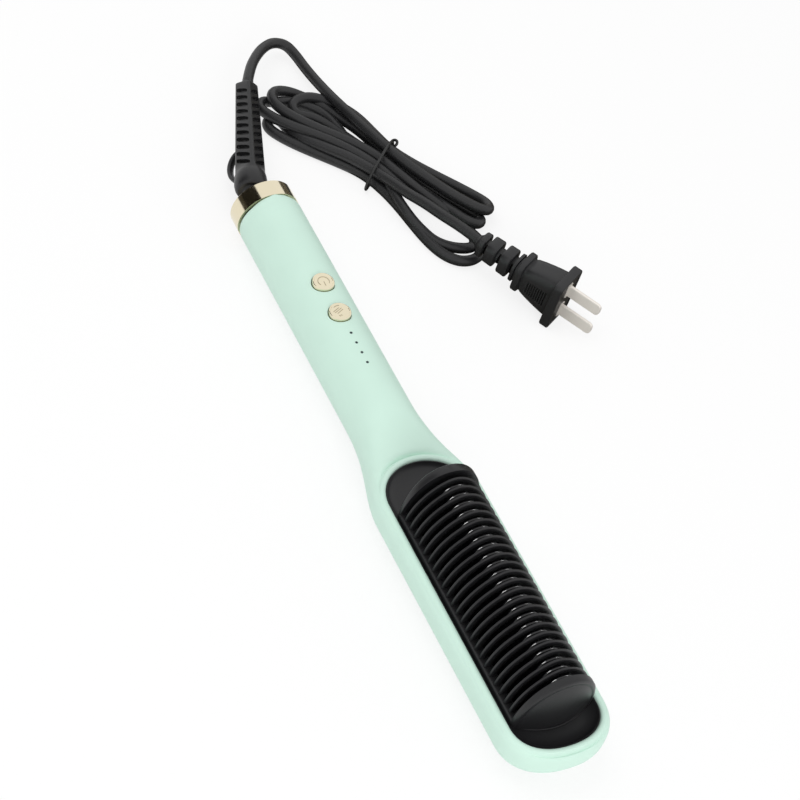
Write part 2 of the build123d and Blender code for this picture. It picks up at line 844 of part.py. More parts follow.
def guard_sleeve():
    """The guard's square body, drawn along +Z from the middle of its socket."""
    def square(level, side):
        return Pos(0, 0, level) * RectangleRounded(side, side, guard_corner)
    return loft([square(guard_base, guard_base_side), square(guard_length, guard_end_side)])


def guard_face(level):
    """Distance from the guard's axis to its flat sides at level."""
    share = (level - guard_base) / (guard_length - guard_base)
    return (guard_base_side + (guard_end_side - guard_base_side) * share) / 2


def hanging_loop():
    def oval(reach, half_length, width):
        sketch = Plane.XZ * Pos(-guard_face(loop_place), loop_place) * Ellipse(reach, half_length)
        return extrude(sketch, width / 2, both=True)
    ring = oval(loop_reach, loop_half_length, loop_width)
    ring -= oval(loop_reach - loop_band, loop_half_length - loop_band, 2 * loop_width)
    return ring & block((-50, -guard_face(loop_place) + 1), (-50, 50), (0, guard_length))


def cord_guard():
    outer = ball_radius + socket_gap + socket_wall
    guard = guard_sleeve() + Sphere(outer)
    shoulder = Cone(*shoulder_radii, shoulder_length, align=(Align.CENTER, Align.CENTER, Align.MIN))
    guard += Pos(0, 0, 1) * shoulder
    for index in range(notch_count):
        level = notch_first + index * notch_pitch
        face = guard_face(level)
        for turn in range(4):
            notch = Box(2 * notch_depth, 2 * face * notch_share, notch_length)
            guard -= Rot(0, 0, 90 * turn) * Pos(face, 0, level) * notch
    guard += hanging_loop()
    depth = outer + 2
    mouth = Cone(depth * math.tan(math.radians(socket_mouth)), 0, depth)
    guard -= Pos(0, 0, -depth / 2) * mouth
    guard -= Sphere(ball_radius + socket_gap)
    bore = cord_diameter / 2 + core_clearance
    guard -= Cylinder(bore, guard_length + 1, align=(Align.CENTER, Align.CENTER, Align.MIN))
    return guard_plane.location * guard


def guard_core():
    start = ball_radius + socket_gap + core_clearance
    core = Cylinder(cord_diameter / 2, guard_length - start, align=(Align.CENTER, Align.CENTER, Align.MIN))
    return guard_plane.location * Pos(0, 0, start) * core


def cord_tube(name, points):
    """A cord along straight runs with tangent arcs as large as the runs allow."""
    places = [Vector(*point) for point in points]
    runs = [b - a for a, b in zip(places, places[1:])]
    radii = []
    for before, after in zip(runs, runs[1:]):
        half_turn = math.radians(before.get_angle(after)) / 2
        radii.append(0.45 * min(before.length, after.length) / math.tan(half_turn))
    path = FilletPolyline(*places, radius=radii)
    tube = sweep(Plane(origin=path @ 0, z_dir=path % 0) * Circle(cord_diameter / 2), path=path)
    section = math.pi * cord_diameter ** 2 / 4
    print(name, "bend radii", [round(radius, 1) for radius in radii])
    print(name, "length", round(path.length, 1), "volume", round(tube.volume, 1),
          "section times length", round(section * path.length, 1))
    return tube


def cord_lead():
    return cord_tube("cord_lead", [tuple(guard_end)] + lead_route)


def cord_tail():
    return cord_tube("cord_tail", tail_route + [tuple(plug_neck_end)])


def flat_outline(points):
    places = [Vector(x, y, floor) for x, y in points]
    return Face(Wire([Edge.make_spline(places, periodic=True)]))


def tie_box(half_length, width, low, high):
    box = block((-half_length, half_length), (-width / 2, width / 2), (floor + low, floor + high))
    return Pos(*tie_centre, 0) * Rot(0, 0, tie_angle) * box


def cord_hank():
    hank = extrude(flat_outline(hank_outline), hank_height, dir=(0, 0, 1))
    hank += extrude(flat_outline(crown_outline), crown_height, dir=(0, 0, 1))
    groove = tie_box(4 * tie_half_length, tie_width + 2 * tie_clearance, -1, crown_height + 1)
    waist = tie_box(tie_half_length - tie_clearance, 2 * tie_width, tie_wire + tie_clearance,
                    crown_height - tie_clearance)
    return hank - (groove - waist)


def hank_tie():
    ring = tie_box(tie_half_length + tie_wire, tie_width, 0, crown_height + tie_wire)
    return ring - tie_box(tie_half_length, 2 * tie_width, tie_wire, crown_height)


def pins(grow):
    blades = []
    for side in (-1, 1):
        blade = Box(pin_thickness + 2 * grow, pin_width + 2 * grow, pin_root + pin_length + 2 * grow,
                    align=(Align.CENTER, Align.CENTER, Align.MIN))
        if not grow:
            ends = blade.edges().filter_by(Axis.X).sort_by(Axis.Z)[-2:]
            blade = fillet(ends, pin_end_radius)
        blades.append(Pos(side * pin_spacing / 2, 0, -pin_root - grow) * blade)
    return blades


def plug_body():
    """Front plate, flared body, collar and beaded neck, drawn with the pins along +Z."""
    def slab(size, corner, middle, length):
        return Pos(0, 0, middle - length / 2) * extrude(RectangleRounded(*size, corner), length)
    plug = slab((plate_height, plate_width), plate_corner, -plate_thickness / 2, plate_thickness)
    body_back = -collar_place + collar_length / 2
    front = Pos(0, 0, -plate_thickness) * RectangleRounded(*body_front_size, body_corner)
    back = Pos(0, 0, body_back) * RectangleRounded(*body_back_size, body_corner)
    plug += loft([back, front])
    plug += slab(collar_size, body_corner, -collar_place, collar_length)
    neck = Cylinder(plug_neck_radius, neck_reach - collar_place, align=(Align.CENTER, Align.CENTER, Align.MIN))
    plug += Pos(0, 0, -neck_reach) * neck
    for place, length, size in bead_rows:
        plug += slab((size, size * bead_flatness), bead_corner, -place, length)
    for index in range(grip_count):
        level = -grip_first - index * grip_pitch
        for side in (-1, 1):
            groove = Box(grip_height, 2 * grip_depth, grip_width)
            plug -= Pos(0, side * body_front_size[1] / 2, level) * groove
    for blade in pins(pin_clearance):
        plug -= blade
    return plug_plane.location * plug


def plug_pins():
    return joined([plug_plane.location * blade for blade in pins(0)])


def main():
    os.makedirs("parts", exist_ok=True)
    shell = casing_shell()
    write("upper_casing", upper_casing(shell))
    write("lower_casing", lower_casing(shell))
    write("end_cap", end_cap())
    write("casing_screws", casing_screw_set())
    write("comb_tray", comb_tray())
    write("comb_guard", comb_guard())
    write("heating_comb", heating_comb())
    write("electrode_strips", electrode_strips())
    write("ptc_heaters", ptc_heaters())
    write("heater_holder", heater_holder())
    write("heater_screws", heater_screws())
    write("temperature_sensor", temperature_sensor())
    write("thermal_fuse", thermal_fuse())
    write("control_board", control_board())
    write("board_screws", board_screws())
    write("film_capacitor", under_board(capacitor_place, capacitor_size))
    write("triac", under_board(triac_place, triac_size))
    write("control_chip", control_chip())
    write("switch_housings", switch_housings())
    write("power_button", power_button())
    write("heat_button", heat_button())
    write("power_plunger", plunger(button_places["power"]))
    write("heat_plunger", plunger(button_places["heat"]))
    write("indicator_leds", indicator_leds())
    write("light_pipe", light_pipe())
    write("brush_plate", brush_plate())
    write("brush_springs", brush_springs())
    write("brush_leads", brush_leads())
    write("heater_leads", heater_leads())
    write("sensor_leads", sensor_leads())
    write("swivel_stem", swivel_stem())
    write("slip_rings", slip_rings())
    write("swivel_leads", swivel_leads())
    write("cord_guard", cord_guard())
    write("guard_core", guard_core())
    write("cord_lead", cord_lead())
    write("cord_hank", cord_hank())
    write("hank_tie", hank_tie())
    write("cord_tail", cord_tail())
    write("plug_body", plug_body())
    write("plug_pins", plug_pins())


main()
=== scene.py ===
import math
import bpy
import bmesh
from mathutils import Euler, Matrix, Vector


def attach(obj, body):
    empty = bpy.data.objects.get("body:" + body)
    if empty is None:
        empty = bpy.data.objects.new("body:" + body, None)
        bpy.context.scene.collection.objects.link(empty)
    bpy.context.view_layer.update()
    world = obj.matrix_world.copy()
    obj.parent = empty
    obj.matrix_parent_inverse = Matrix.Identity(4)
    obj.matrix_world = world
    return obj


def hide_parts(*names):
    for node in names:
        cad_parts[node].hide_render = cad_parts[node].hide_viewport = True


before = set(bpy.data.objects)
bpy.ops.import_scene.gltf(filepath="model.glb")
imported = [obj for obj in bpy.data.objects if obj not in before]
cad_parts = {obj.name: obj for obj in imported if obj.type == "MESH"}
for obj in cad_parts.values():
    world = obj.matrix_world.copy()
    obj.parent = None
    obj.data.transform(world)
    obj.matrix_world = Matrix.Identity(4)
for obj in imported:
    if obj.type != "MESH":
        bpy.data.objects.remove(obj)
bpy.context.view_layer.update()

# Hot comb. Sizes are millimetres from the back of the end cap, on the handle's axis, and at()
# turns them into metres in the frame.
scene = bpy.context.scene
middleX, axisHeight = 141.35, 14.5
print("frame loaded")


def at(x, y, z=0.0):
    return Vector((x - middleX, y, z + axisHeight)) / 1000


# camera, light and floor
view = {
    "place": (0.46515, -0.39663, 0.73707), "turn": (39.834, -12.397, 64.450), "lens": 104.48,
    "sensor": 36, "nearest": 0.05,
}
studio = {
    "ambient": 0.60, "floorColour": (0.97, 0.97, 0.97, 1), "floorGlow": 0.80, "floorReach": 4,
    # name, power, place, width and length
    "lamps": (
        ("key", 3.5, (-0.35, -0.25, 0.95), 0.9, 0.9),
        ("fill", 1.2, (0.55, 0.65, 0.8), 0.8, 0.8),
        ("front", 3.6, (0.95, -0.30, 0.55), 0.45, 0.45),
    ),
    # bright bars that only the heated fins see, one for their shoulder and one for their crest
    "glints": (
        ("glint", 12.0, (-0.25, -0.64, 0.55), 0.75, 0.20),
        ("spark", 0.9, (-0.30, 0.61, 0.57), 0.04, 0.30),
    ),
}
# dark cards that only show in reflections
cards = {
    # round the end cap: two edges, as ways out from the cap's middle, and how pale the card is
    "strips": (
        ((-0.51, -0.84, -0.02), (-0.51, -0.80, 0.20), 0.07),
        ((-0.51, -0.80, 0.20), (-0.51, -0.27, 0.82), 0.02),
        ((-0.51, 0.83, 0.23), (-0.51, 0.835, 0.19), 0.0),
        ((-0.51, 0.835, 0.19), (-0.51, 0.86, -0.02), 0.12),
    ),
    "capMiddle": 4.0, "away": 0.8, "halfLength": 0.3, "tint": (1, 0.9, 0.7),
    # one more lies on the floor beside the comb
    "floorCorners": ((-0.6, 0.055), (0.06, 0.9)), "floorShade": 0.12, "floorLift": 0.0004,
}

camera = bpy.data.objects.new("camera", bpy.data.cameras.new("camera"))
scene.collection.objects.link(camera)
camera.location = view["place"]
camera.rotation_euler = Euler([math.radians(angle) for angle in view["turn"]])
camera.data.lens = view["lens"]
camera.data.sensor_width = view["sensor"]
camera.data.clip_start = view["nearest"]
scene.camera = camera
scene.view_settings.view_transform = "Standard"


class Wire:
    # one socket of a node tree, so that shader sums are written as plain expressions
    def __init__(self, tree, socket=None):
        self.tree, self.socket = tree, socket

    def feed(self, socket, value):
        if isinstance(value, Wire):
            self.tree.links.new(value.socket, socket)
        else:
            socket.default_value = value

    def node(self, kind, settings=None, sockets=None, output=0):
        made = self.tree.nodes.new(kind)
        for name, value in (settings or {}).items():
            setattr(made, name, value)
        for name, value in (sockets or {}).items():
            self.feed(made.inputs[name], value)
        return Wire(self.tree, made.outputs[output])

    def sum(self, operation, first, second):
        return self.node("ShaderNodeMath", {"operation": operation}, {0: first, 1: second})

    def __add__(self, other):
        return self.sum("ADD", self, other)

    def __sub__(self, other):
        return self.sum("SUBTRACT", self, other)

    def __rsub__(self, other):
        return self.sum("SUBTRACT", other, self)

    def __mul__(self, other):
        return self.sum("MULTIPLY", self, other)

    __radd__ = __add__
    __rmul__ = __mul__


def rayMask(tree):
    # 1 for what the camera, gloss and glass see, 0 for the light that falls on things
    start = Wire(tree)
    seen = start.node("ShaderNodeLightPath", output="Is Camera Ray")
    gloss = start.node("ShaderNodeLightPath", output="Is Glossy Ray")
    glass = start.node("ShaderNodeLightPath", output="Is Transmission Ray")
    return start.node("ShaderNodeMath", {"operation": "MINIMUM"}, {0: seen + gloss + glass, 1: 1.0})


glintReceivers = bpy.data.collections.new("glintReceivers")


def makeSky():
    world = bpy.data.worlds.new("studio")
    scene.world = world
    world.use_nodes = True
    background = world.node_tree.nodes["Background"]
    background.inputs["Color"].default_value = (1, 1, 1, 1)
    mask = rayMask(world.node_tree)
    mask.feed(background.inputs["Strength"], mask * (1 - studio["ambient"]) + studio["ambient"])


def makeLamp(name, power, place, wide, long, onlyGloss=False):
    lamp = bpy.data.objects.new(name, bpy.data.lights.new(name, "AREA"))
    scene.collection.objects.link(lamp)
    lamp.data.shape = "RECTANGLE"
    lamp.data.energy, lamp.data.size, lamp.data.size_y = power, long, wide
    lamp.location = place
    lamp.rotation_euler = (-Vector(place)).to_track_quat("-Z", "Y").to_euler()
    lamp.visible_glossy = onlyGloss
    lamp.visible_diffuse = not onlyGloss
    if onlyGloss:
        lamp.light_linking.receiver_collection = glintReceivers
        lamp.data.use_shadow = False


def makeFloor():
    far = studio["floorReach"]
    mesh = bpy.data.meshes.new("floor")
    mesh.from_pydata([(-far, -far, 0), (far, -far, 0), (far, far, 0), (-far, far, 0)], [], [(0, 1, 2, 3)])
    floor = bpy.data.objects.new("floor", mesh)
    scene.collection.objects.link(floor)
    paper = bpy.data.materials.new("paper")
    paper.use_nodes = True
    tree = paper.node_tree
    start = Wire(tree)
    lit = start.node("ShaderNodeBsdfDiffuse", sockets={"Color": studio["floorColour"]})
    white = start.node("ShaderNodeEmission", sockets={"Color": (1, 1, 1, 1), "Strength": 1.0})
    glow = rayMask(tree) * studio["floorGlow"]
    mixed = start.node("ShaderNodeMixShader", sockets={0: glow, 1: lit, 2: white})
    tree.links.new(mixed.socket, tree.nodes["Material Output"].inputs["Surface"])
    mesh.materials.append(paper)


def makeCard(name, corners, shade):
    mesh = bpy.data.meshes.new(name)
    mesh.from_pydata(corners, [], [(0, 1, 2, 3)])
    card = bpy.data.objects.new(name, mesh)
    scene.collection.objects.link(card)
    card.visible_camera = card.visible_diffuse = card.visible_shadow = False
    dark = bpy.data.materials.new(name)
    dark.use_nodes = True
    shader = dark.node_tree.nodes["Principled BSDF"]
    shader.inputs["Base Color"].default_value = [shade * channel for channel in cards["tint"]] + [1]
    shader.inputs["Specular IOR Level"].default_value = 0
    mesh.materials.append(dark)


def makeCards():
    cap, reach = at(cards["capMiddle"], 0), Vector((cards["halfLength"], 0, 0))
    for number, (first, second, shade) in enumerate(cards["strips"]):
        a, b = cap + Vector(first) * cards["away"], cap + Vector(second) * cards["away"]
        makeCard("card" + str(number), [a - reach, a + reach, b + reach, b - reach], shade)
    (lowX, lowY), (highX, highY) = cards["floorCorners"]
    z = cards["floorLift"]
    corners = [(lowX, lowY, z), (highX, lowY, z), (highX, highY, z), (lowX, highY, z)]
    makeCard("floorCard", corners, cards["floorShade"])


makeSky()
for lampValues in studio["lamps"]:
    makeLamp(*lampValues)
for lampValues in studio["glints"]:
    makeLamp(*lampValues, onlyGloss=True)
makeFloor()
makeCards()
print("camera, light and floor made")


# finishes
finishes = {
    "mint_plastic": {"colour": (0.610, 0.823, 0.716), "roughness": 0.52, "grain": 1800, "bump": 0.04,
                     "vary": 0.03},
    "gold_metal": {"colour": (0.80, 0.725, 0.54), "roughness": 0.13, "metal": 1, "grain": 2500,
                   "bump": 0.02},
    "black_plastic": {"colour": (0.012, 0.012, 0.013), "roughness": 0.38, "gloss": 0.38, "grain": 2200,
                      "bump": 0.10, "vary": 0.15},
    "heated_coating": {"colour": (0.008, 0.008, 0.009), "roughness": 0.10, "grain": 900, "bump": 0.03},
    "rubber_black": {"colour": (0.015, 0.015, 0.016), "roughness": 0.40, "gloss": 0.42, "grain": 1500,
                     "bump": 0.08, "vary": 0.2},
    "pin_metal": {"colour": (0.86, 0.81, 0.75), "roughness": 0.36, "metal": 0.3, "grain": 3000,
                  "bump": 0.05},
    "steel": {"colour": (0.62, 0.62, 0.62), "roughness": 0.3, "metal": 1, "grain": 2500, "bump": 0.05},
    "copper_alloy": {"colour": (0.72, 0.45, 0.25), "roughness": 0.3, "metal": 1, "grain": 2500,
                     "bump": 0.05},
    "aluminium_foil": {"colour": (0.75, 0.75, 0.76), "roughness": 0.32, "metal": 1, "grain": 800,
                       "bump": 0.2},
    "board_green": {"colour": (0.02, 0.10, 0.045), "roughness": 0.35, "grain": 1200, "bump": 0.05,
                    "vary": 0.2},
    "clear_plastic": {"colour": (0.03, 0.05, 0.05), "roughness": 0.12, "grain": 900, "bump": 0.02},
    "white_ceramic": {"colour": (0.74, 0.73, 0.68), "roughness": 0.6, "grain": 1500, "bump": 0.1,
                      "vary": 0.06},
    "grey_plastic": {"colour": (0.17, 0.18, 0.19), "roughness": 0.45, "grain": 2000, "bump": 0.08,
                     "vary": 0.1},
    "wire_red": {"colour": (0.45, 0.01, 0.008), "roughness": 0.4, "grain": 1500, "bump": 0.05, "vary": 0.1},
    "paper_tie": {"colour": (0.010, 0.010, 0.010), "roughness": 0.4, "grain": 1500, "bump": 0.1,
                  "vary": 0.1},
    "mark_ink": {"colour": (0.42, 0.36, 0.24), "roughness": 0.4, "metal": 0.6, "grain": 2500, "bump": 0.1},
}
# what all finishes share: the size of their clouds, and how far clouds and grains change the roughness
surface = {
    "cloudScale": 70.0, "cloudDetail": 3.0, "grainDetail": 2.0, "cloudRoughness": 0.12,
    "grainRoughness": 0.1, "bumpDistance": 0.0002,
}


def makeFinish(name, colour, roughness, grain, bump, metal=0.0, vary=0.05, gloss=0.5):
    s = surface
    material = bpy.data.materials.new(name)
    material.use_nodes = True
    shader = material.node_tree.nodes["Principled BSDF"]
    start = Wire(material.node_tree)
    place = start.node("ShaderNodeTexCoord", output="Object")
    clouds = start.node("ShaderNodeTexNoise",
                        sockets={"Vector": place, "Scale": s["cloudScale"], "Detail": s["cloudDetail"]})
    grains = start.node("ShaderNodeTexNoise",
                        sockets={"Vector": place, "Scale": float(grain), "Detail": s["grainDetail"]})
    dark = [channel * (1 - vary) for channel in colour] + [1]
    light = [min(1, channel * (1 + vary)) for channel in colour] + [1]
    tint = start.node("ShaderNodeMix", {"data_type": "RGBA"}, {0: clouds, 6: dark, 7: light}, output=2)
    start.feed(shader.inputs["Base Color"], tint)
    uneven = (clouds - 0.5) * s["cloudRoughness"] + (grains - 0.5) * s["grainRoughness"]
    start.feed(shader.inputs["Roughness"], uneven + roughness)
    shader.inputs["Metallic"].default_value = metal
    shader.inputs["Specular IOR Level"].default_value = gloss
    bumps = start.node("ShaderNodeBump",
                       sockets={"Strength": bump, "Distance": s["bumpDistance"], "Height": grains})
    start.feed(shader.inputs["Normal"], bumps)
    return material


materials = {name: makeFinish(name, **values) for name, values in finishes.items()}
nodeFinish = {
    "mint_plastic": ["upper_casing", "lower_casing"],
    "gold_metal": ["end_cap", "power_button", "heat_button"],
    "black_plastic": ["comb_tray", "comb_guard", "film_capacitor", "triac", "control_chip",
                      "switch_housings", "swivel_stem"],
    "heated_coating": ["heating_comb"],
    "rubber_black": ["cord_guard", "guard_core", "cord_lead", "cord_hank", "cord_tail", "plug_body"],
    "pin_metal": ["plug_pins"],
    "steel": ["casing_screws", "heater_screws", "board_screws", "brush_springs"],
    "copper_alloy": ["slip_rings"],
    "aluminium_foil": ["electrode_strips"],
    "board_green": ["control_board"],
    "clear_plastic": ["light_pipe", "indicator_leds"],
    "white_ceramic": ["ptc_heaters", "temperature_sensor", "thermal_fuse"],
    "grey_plastic": ["heater_holder", "brush_plate", "power_plunger", "heat_plunger"],
    "wire_red": ["swivel_leads", "brush_leads", "heater_leads", "sensor_leads"],
    "paper_tie": ["hank_tie"],
}
for finishName, nodes in nodeFinish.items():
    for nodeName in nodes:
        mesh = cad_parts[nodeName].data
        mesh.materials.clear()
        mesh.materials.append(materials[finishName])
print("finishes made:", len(materials))

sharpAngle = 32  # degrees: an edge that turns by more is left sharp


def makePiece(name, build, finish, nodes=(), body="root", sharp=sharpAngle):
    mesh = bpy.data.meshes.new(name)
    mesh.from_pydata([at(*point) for point in build.points], [], build.faces)
    piece = bpy.data.objects.new(name, mesh)
    scene.collection.objects.link(piece)
    mesh.materials.append(materials[finish])
    weld(piece)
    shade(piece, sharp)
    if nodes:
        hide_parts(*nodes)
    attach(piece, body)
    return piece


def weld(piece):
    work = bmesh.new()
    work.from_mesh(piece.data)
    bmesh.ops.remove_doubles(work, verts=work.verts, dist=1e-6)
    bmesh.ops.dissolve_degenerate(work, edges=work.edges, dist=1e-7)
    bmesh.ops.recalc_face_normals(work, faces=work.faces)
    work.to_mesh(piece.data)
    work.free()


def shade(piece, sharp):
    work = bmesh.new()
    work.from_mesh(piece.data)
    for face in work.faces:
        face.smooth = True
    for edge in work.edges:
        edge.smooth = len(edge.link_faces) != 2 or edge.calc_face_angle(0) < math.radians(sharp)
    work.to_mesh(piece.data)
    work.free()


def bake(piece, sharp=sharpAngle):
    # the modifiers become the mesh
    depsgraph = bpy.context.evaluated_depsgraph_get()
    depsgraph.update()
    mesh = bpy.data.meshes.new_from_object(piece.evaluated_get(depsgraph))
    piece.modifiers.clear()
    piece.data = mesh
    shade(piece, sharp)


def subdivide(piece):
    modifier = piece.modifiers.new("smooth", "SUBSURF")
    modifier.levels = modifier.render_levels = 1
    bake(piece)


def cut(piece, build, sharp=sharpAngle):
    # takes a set of closed solids out of a piece
    mesh = bpy.data.meshes.new("cutter")
    mesh.from_pydata([at(*point) for point in build.points], [], build.faces)
    cutter = bpy.data.objects.new("cutter", mesh)
    scene.collection.objects.link(cutter)
    weld(cutter)
    modifier = piece.modifiers.new("cut", "BOOLEAN")
    modifier.operation, modifier.solver, modifier.object = "DIFFERENCE", "EXACT", cutter
    bake(piece, sharp)
    bpy.data.objects.remove(cutter)


class Build:
    # collects points and faces in millimetres
    def __init__(self):
        self.points, self.faces = [], []

    def grid(self, rows, closed=False):
        base, width = len(self.points), len(rows[0])
        for row in rows:
            self.points.extend(tuple(point) for point in row)
        for r in range(len(rows) - 1):
            for c in range(width if closed else width - 1):
                a, b = base + r * width + c, base + r * width + (c + 1) % width
                self.faces.append((a, b, b + width, a + width))
        return base

    def loft(self, rings, ends=True):
        # rings of points joined into a tube, with its ends closed
        base, width = self.grid(rings, True), len(rings[0])
        if ends:
            self.faces.append(tuple(reversed(range(base, base + width))))
            last = base + (len(rings) - 1) * width
            self.faces.append(tuple(range(last, last + width)))

    def face(self, points):
        base = len(self.points)
        self.points.extend(points)
        self.faces.append(tuple(range(base, base + len(points))))

    def mirror(self):
        # the same again on the other side of the middle plane
        base = len(self.points)
        self.points += [(x, -y, z) for x, y, z in self.points]
        self.faces += [tuple(base + index for index in reversed(face)) for face in self.faces]


def roundRing(half, tall, power, count, place):
    # a ring from round, power 2, to nearly square; place turns two sizes into a point
    ring = []
    for step in range(count):
        angle = 2 * math.pi * (step + 0.5) / count
        c, s = math.cos(angle), math.sin(angle)
        ring.append(place(math.copysign(abs(c) ** (2 / power), c) * half,
                          math.copysign(abs(s) ** (2 / power), s) * tall))
    return ring


def directions(path):
    # the way along a path at each of its points
    last = len(path) - 1
    return [(path[min(index + 1, last)] - path[max(index - 1, 0)]).normalized()
            for index in range(len(path))]


def makeTube(name, routes, radius, finish, nodes, along, around, closed=False):
    # a round line on the cord's body, smooth along its length and around it
    curve = bpy.data.curves.new(name, "CURVE")
    curve.dimensions = "3D"
    for route in routes:
        spline = curve.splines.new("NURBS")
        spline.points.add(len(route) - 1)
        for point, place in zip(spline.points, route):
            point.co = (*at(*place), 1)
        spline.order_u = 3
        if closed:
            spline.use_cyclic_u = True
        else:
            spline.use_endpoint_u = True
    curve.resolution_u = along
    curve.bevel_depth = radius / 1000
    curve.bevel_resolution = around
    curve.use_fill_caps = True
    curve.materials.append(materials[finish])
    piece = bpy.data.objects.new(name, curve)
    scene.collection.objects.link(piece)
    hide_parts(*nodes)
    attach(piece, "cord")
    return piece


# cord: a lead from the guard, a hank of nine passes and a tail to the plug
cordShape = {
    "diameter": 5.0,
    "length": 1.16,  # metres
    "along": 6, "around": 5,  # how finely the line is divided
    "lead": [
        (-70.4, 23.4, 0.0), (-80.9, 29.4, -0.8), (-89.6, 36.4, -2.4), (-96.6, 43.6, -4.4),
        (-101.0, 51.0, -6.4), (-100.0, 57.4, -8.0), (-94.0, 60.0, -9.2), (-83.8, 61.4, -9.8),
        (-73.0, 62.9, -9.2), (-61.0, 64.3, -7.4), (-48.8, 66.7, -5.8), (-38.6, 69.0, -4.9),
    ],
    "hank": [
        (-28.2, 72.1, -4.4), (-18.9, 75.7, -4.6), (-9.7, 80.0, -4.8), (0.8, 85.7, -5.0),
        (10.9, 91.6, -5.2), (17.8, 96.8, -5.4), (22.0, 100.6, -5.8), (23.4, 104.6, -6.8),
        (20.9, 107.9, -8.4), (15.6, 108.4, -10.0), (8.6, 105.3, -11.4), (1.2, 100.4, -12.0),
        (-7.2, 93.6, -12.0), (-16.6, 86.4, -12.0), (-27.2, 79.9, -12.0), (-39.6, 76.6, -12.0),
        (-49.6, 74.0, -12.0), (-57.0, 70.1, -12.0), (-60.8, 65.8, -11.6), (-63.1, 61.4, -10.4),
        (-64.8, 56.6, -9.2), (-65.4, 51.2, -8.8), (-64.0, 46.4, -9.0), (-60.6, 43.8, -9.4),
        (-56.9, 44.9, -10.0), (-55.7, 48.9, -10.8), (-54.2, 53.0, -11.6), (-47.6, 58.4, -12.0),
        (-37.6, 63.8, -12.0), (-26.7, 69.9, -12.0), (-14.9, 74.5, -12.0), (-5.3, 78.8, -11.6),
        (4.1, 83.4, -10.4), (13.7, 87.4, -9.2), (21.6, 91.2, -8.6), (26.2, 94.4, -8.8),
        (27.8, 98.4, -9.6), (25.6, 101.8, -10.8), (21.0, 102.0, -11.6), (11.3, 95.4, -12.0),
        (2.3, 89.4, -12.0), (-8.8, 83.1, -12.0), (-21.8, 77.1, -12.0), (-40.0, 71.8, -12.0),
        (-50.2, 66.5, -12.0), (-58.5, 61.6, -12.0), (-65.1, 57.4, -12.0), (-68.9, 53.2, -12.0),
        (-71.4, 49.1, -11.0), (-72.2, 44.3, -9.4), (-71.2, 39.4, -7.6), (-67.8, 35.8, -6.2),
        (-63.0, 34.8, -6.0), (-57.4, 36.9, -6.2), (-51.6, 41.2, -6.6), (-44.6, 47.4, -6.8),
        (-36.8, 55.2, -6.8), (-29.4, 62.6, -6.8), (-20.8, 68.8, -6.8), (-9.8, 73.4, -7.0),
        (1.3, 78.4, -7.6), (11.3, 84.1, -8.6), (19.2, 89.2, -10.0), (24.3, 93.0, -11.4),
        (29.6, 94.8, -12.0), (34.8, 94.2, -12.0), (38.2, 91.3, -12.0), (38.2, 87.2, -12.0),
        (35.7, 80.7, -12.0), (30.8, 75.2, -12.0), (24.3, 72.2, -11.4), (18.3, 69.8, -10.2),
        (12.7, 68.3, -9.0), (5.9, 67.6, -8.6), (-10.6, 69.1, -10.4), (-20.4, 66.0, -12.0),
        (-29.5, 63.6, -12.0), (-38.5, 62.2, -12.0), (-47.4, 61.4, -12.0), (-56.0, 59.0, -12.0),
        (-62.8, 53.4, -12.0), (-67.3, 45.8, -12.0), (-67.9, 37.6, -11.2), (-68.2, 32.2, -9.8),
        (-65.4, 28.9, -9.0), (-61.2, 28.5, -8.4), (-53.8, 32.8, -7.8), (-48.3, 37.7, -7.6),
        (-42.0, 44.6, -7.4), (-34.4, 52.2, -7.2), (-25.8, 59.5, -7.2), (-15.4, 66.2, -7.4),
        (-4.4, 71.9, -9.0), (4.4, 78.4, -10.8), (13.0, 84.8, -12.0), (21.9, 90.4, -12.0),
        (29.3, 94.3, -12.0), (36.0, 96.4, -12.0), (42.0, 94.3, -12.0), (45.4, 88.9, -12.0),
        (45.2, 82.7, -12.0), (41.9, 77.8, -12.0), (36.0, 74.1, -12.0), (27.0, 71.5, -12.0),
        (17.2, 69.9, -12.0), (7.6, 68.5, -12.0), (-2.1, 66.4, -12.0), (-11.3, 63.1, -12.0),
        (-18.4, 58.9, -12.0), (-24.6, 53.2, -12.0), (-30.8, 47.0, -12.0), (-37.0, 40.8, -12.0),
        (-42.4, 35.9, -12.0), (-47.6, 32.0, -12.0), (-52.2, 29.4, -12.0), (-56.2, 29.4, -12.0),
        (-58.6, 32.0, -12.0), (-58.2, 35.2, -12.0), (-55.0, 37.2, -12.0), (-49.6, 37.2, -11.4),
        (-42.0, 40.4, -10.0), (-36.4, 44.6, -8.8), (-30.2, 50.0, -8.0), (-22.4, 57.0, -7.4),
        (-12.2, 63.5, -7.0), (-3.0, 67.7, -5.8),
    ],
    "tail": [
        (6.5, 71.4, -4.6), (15.6, 75.8, -3.0), (24.6, 79.1, -1.7), (33.0, 83.1, -0.7),
        (40.2, 86.4, -0.3), (46.8, 88.9, -0.2),
    ],
}
cordRoute = cordShape["lead"] + cordShape["hank"] + cordShape["tail"]
mainsCord = makeTube("mainsCord", [cordRoute], cordShape["diameter"] / 2, "rubber_black",
                     ("cord_lead", "cord_hank", "cord_tail"), cordShape["along"], cordShape["around"])
print("cord made")


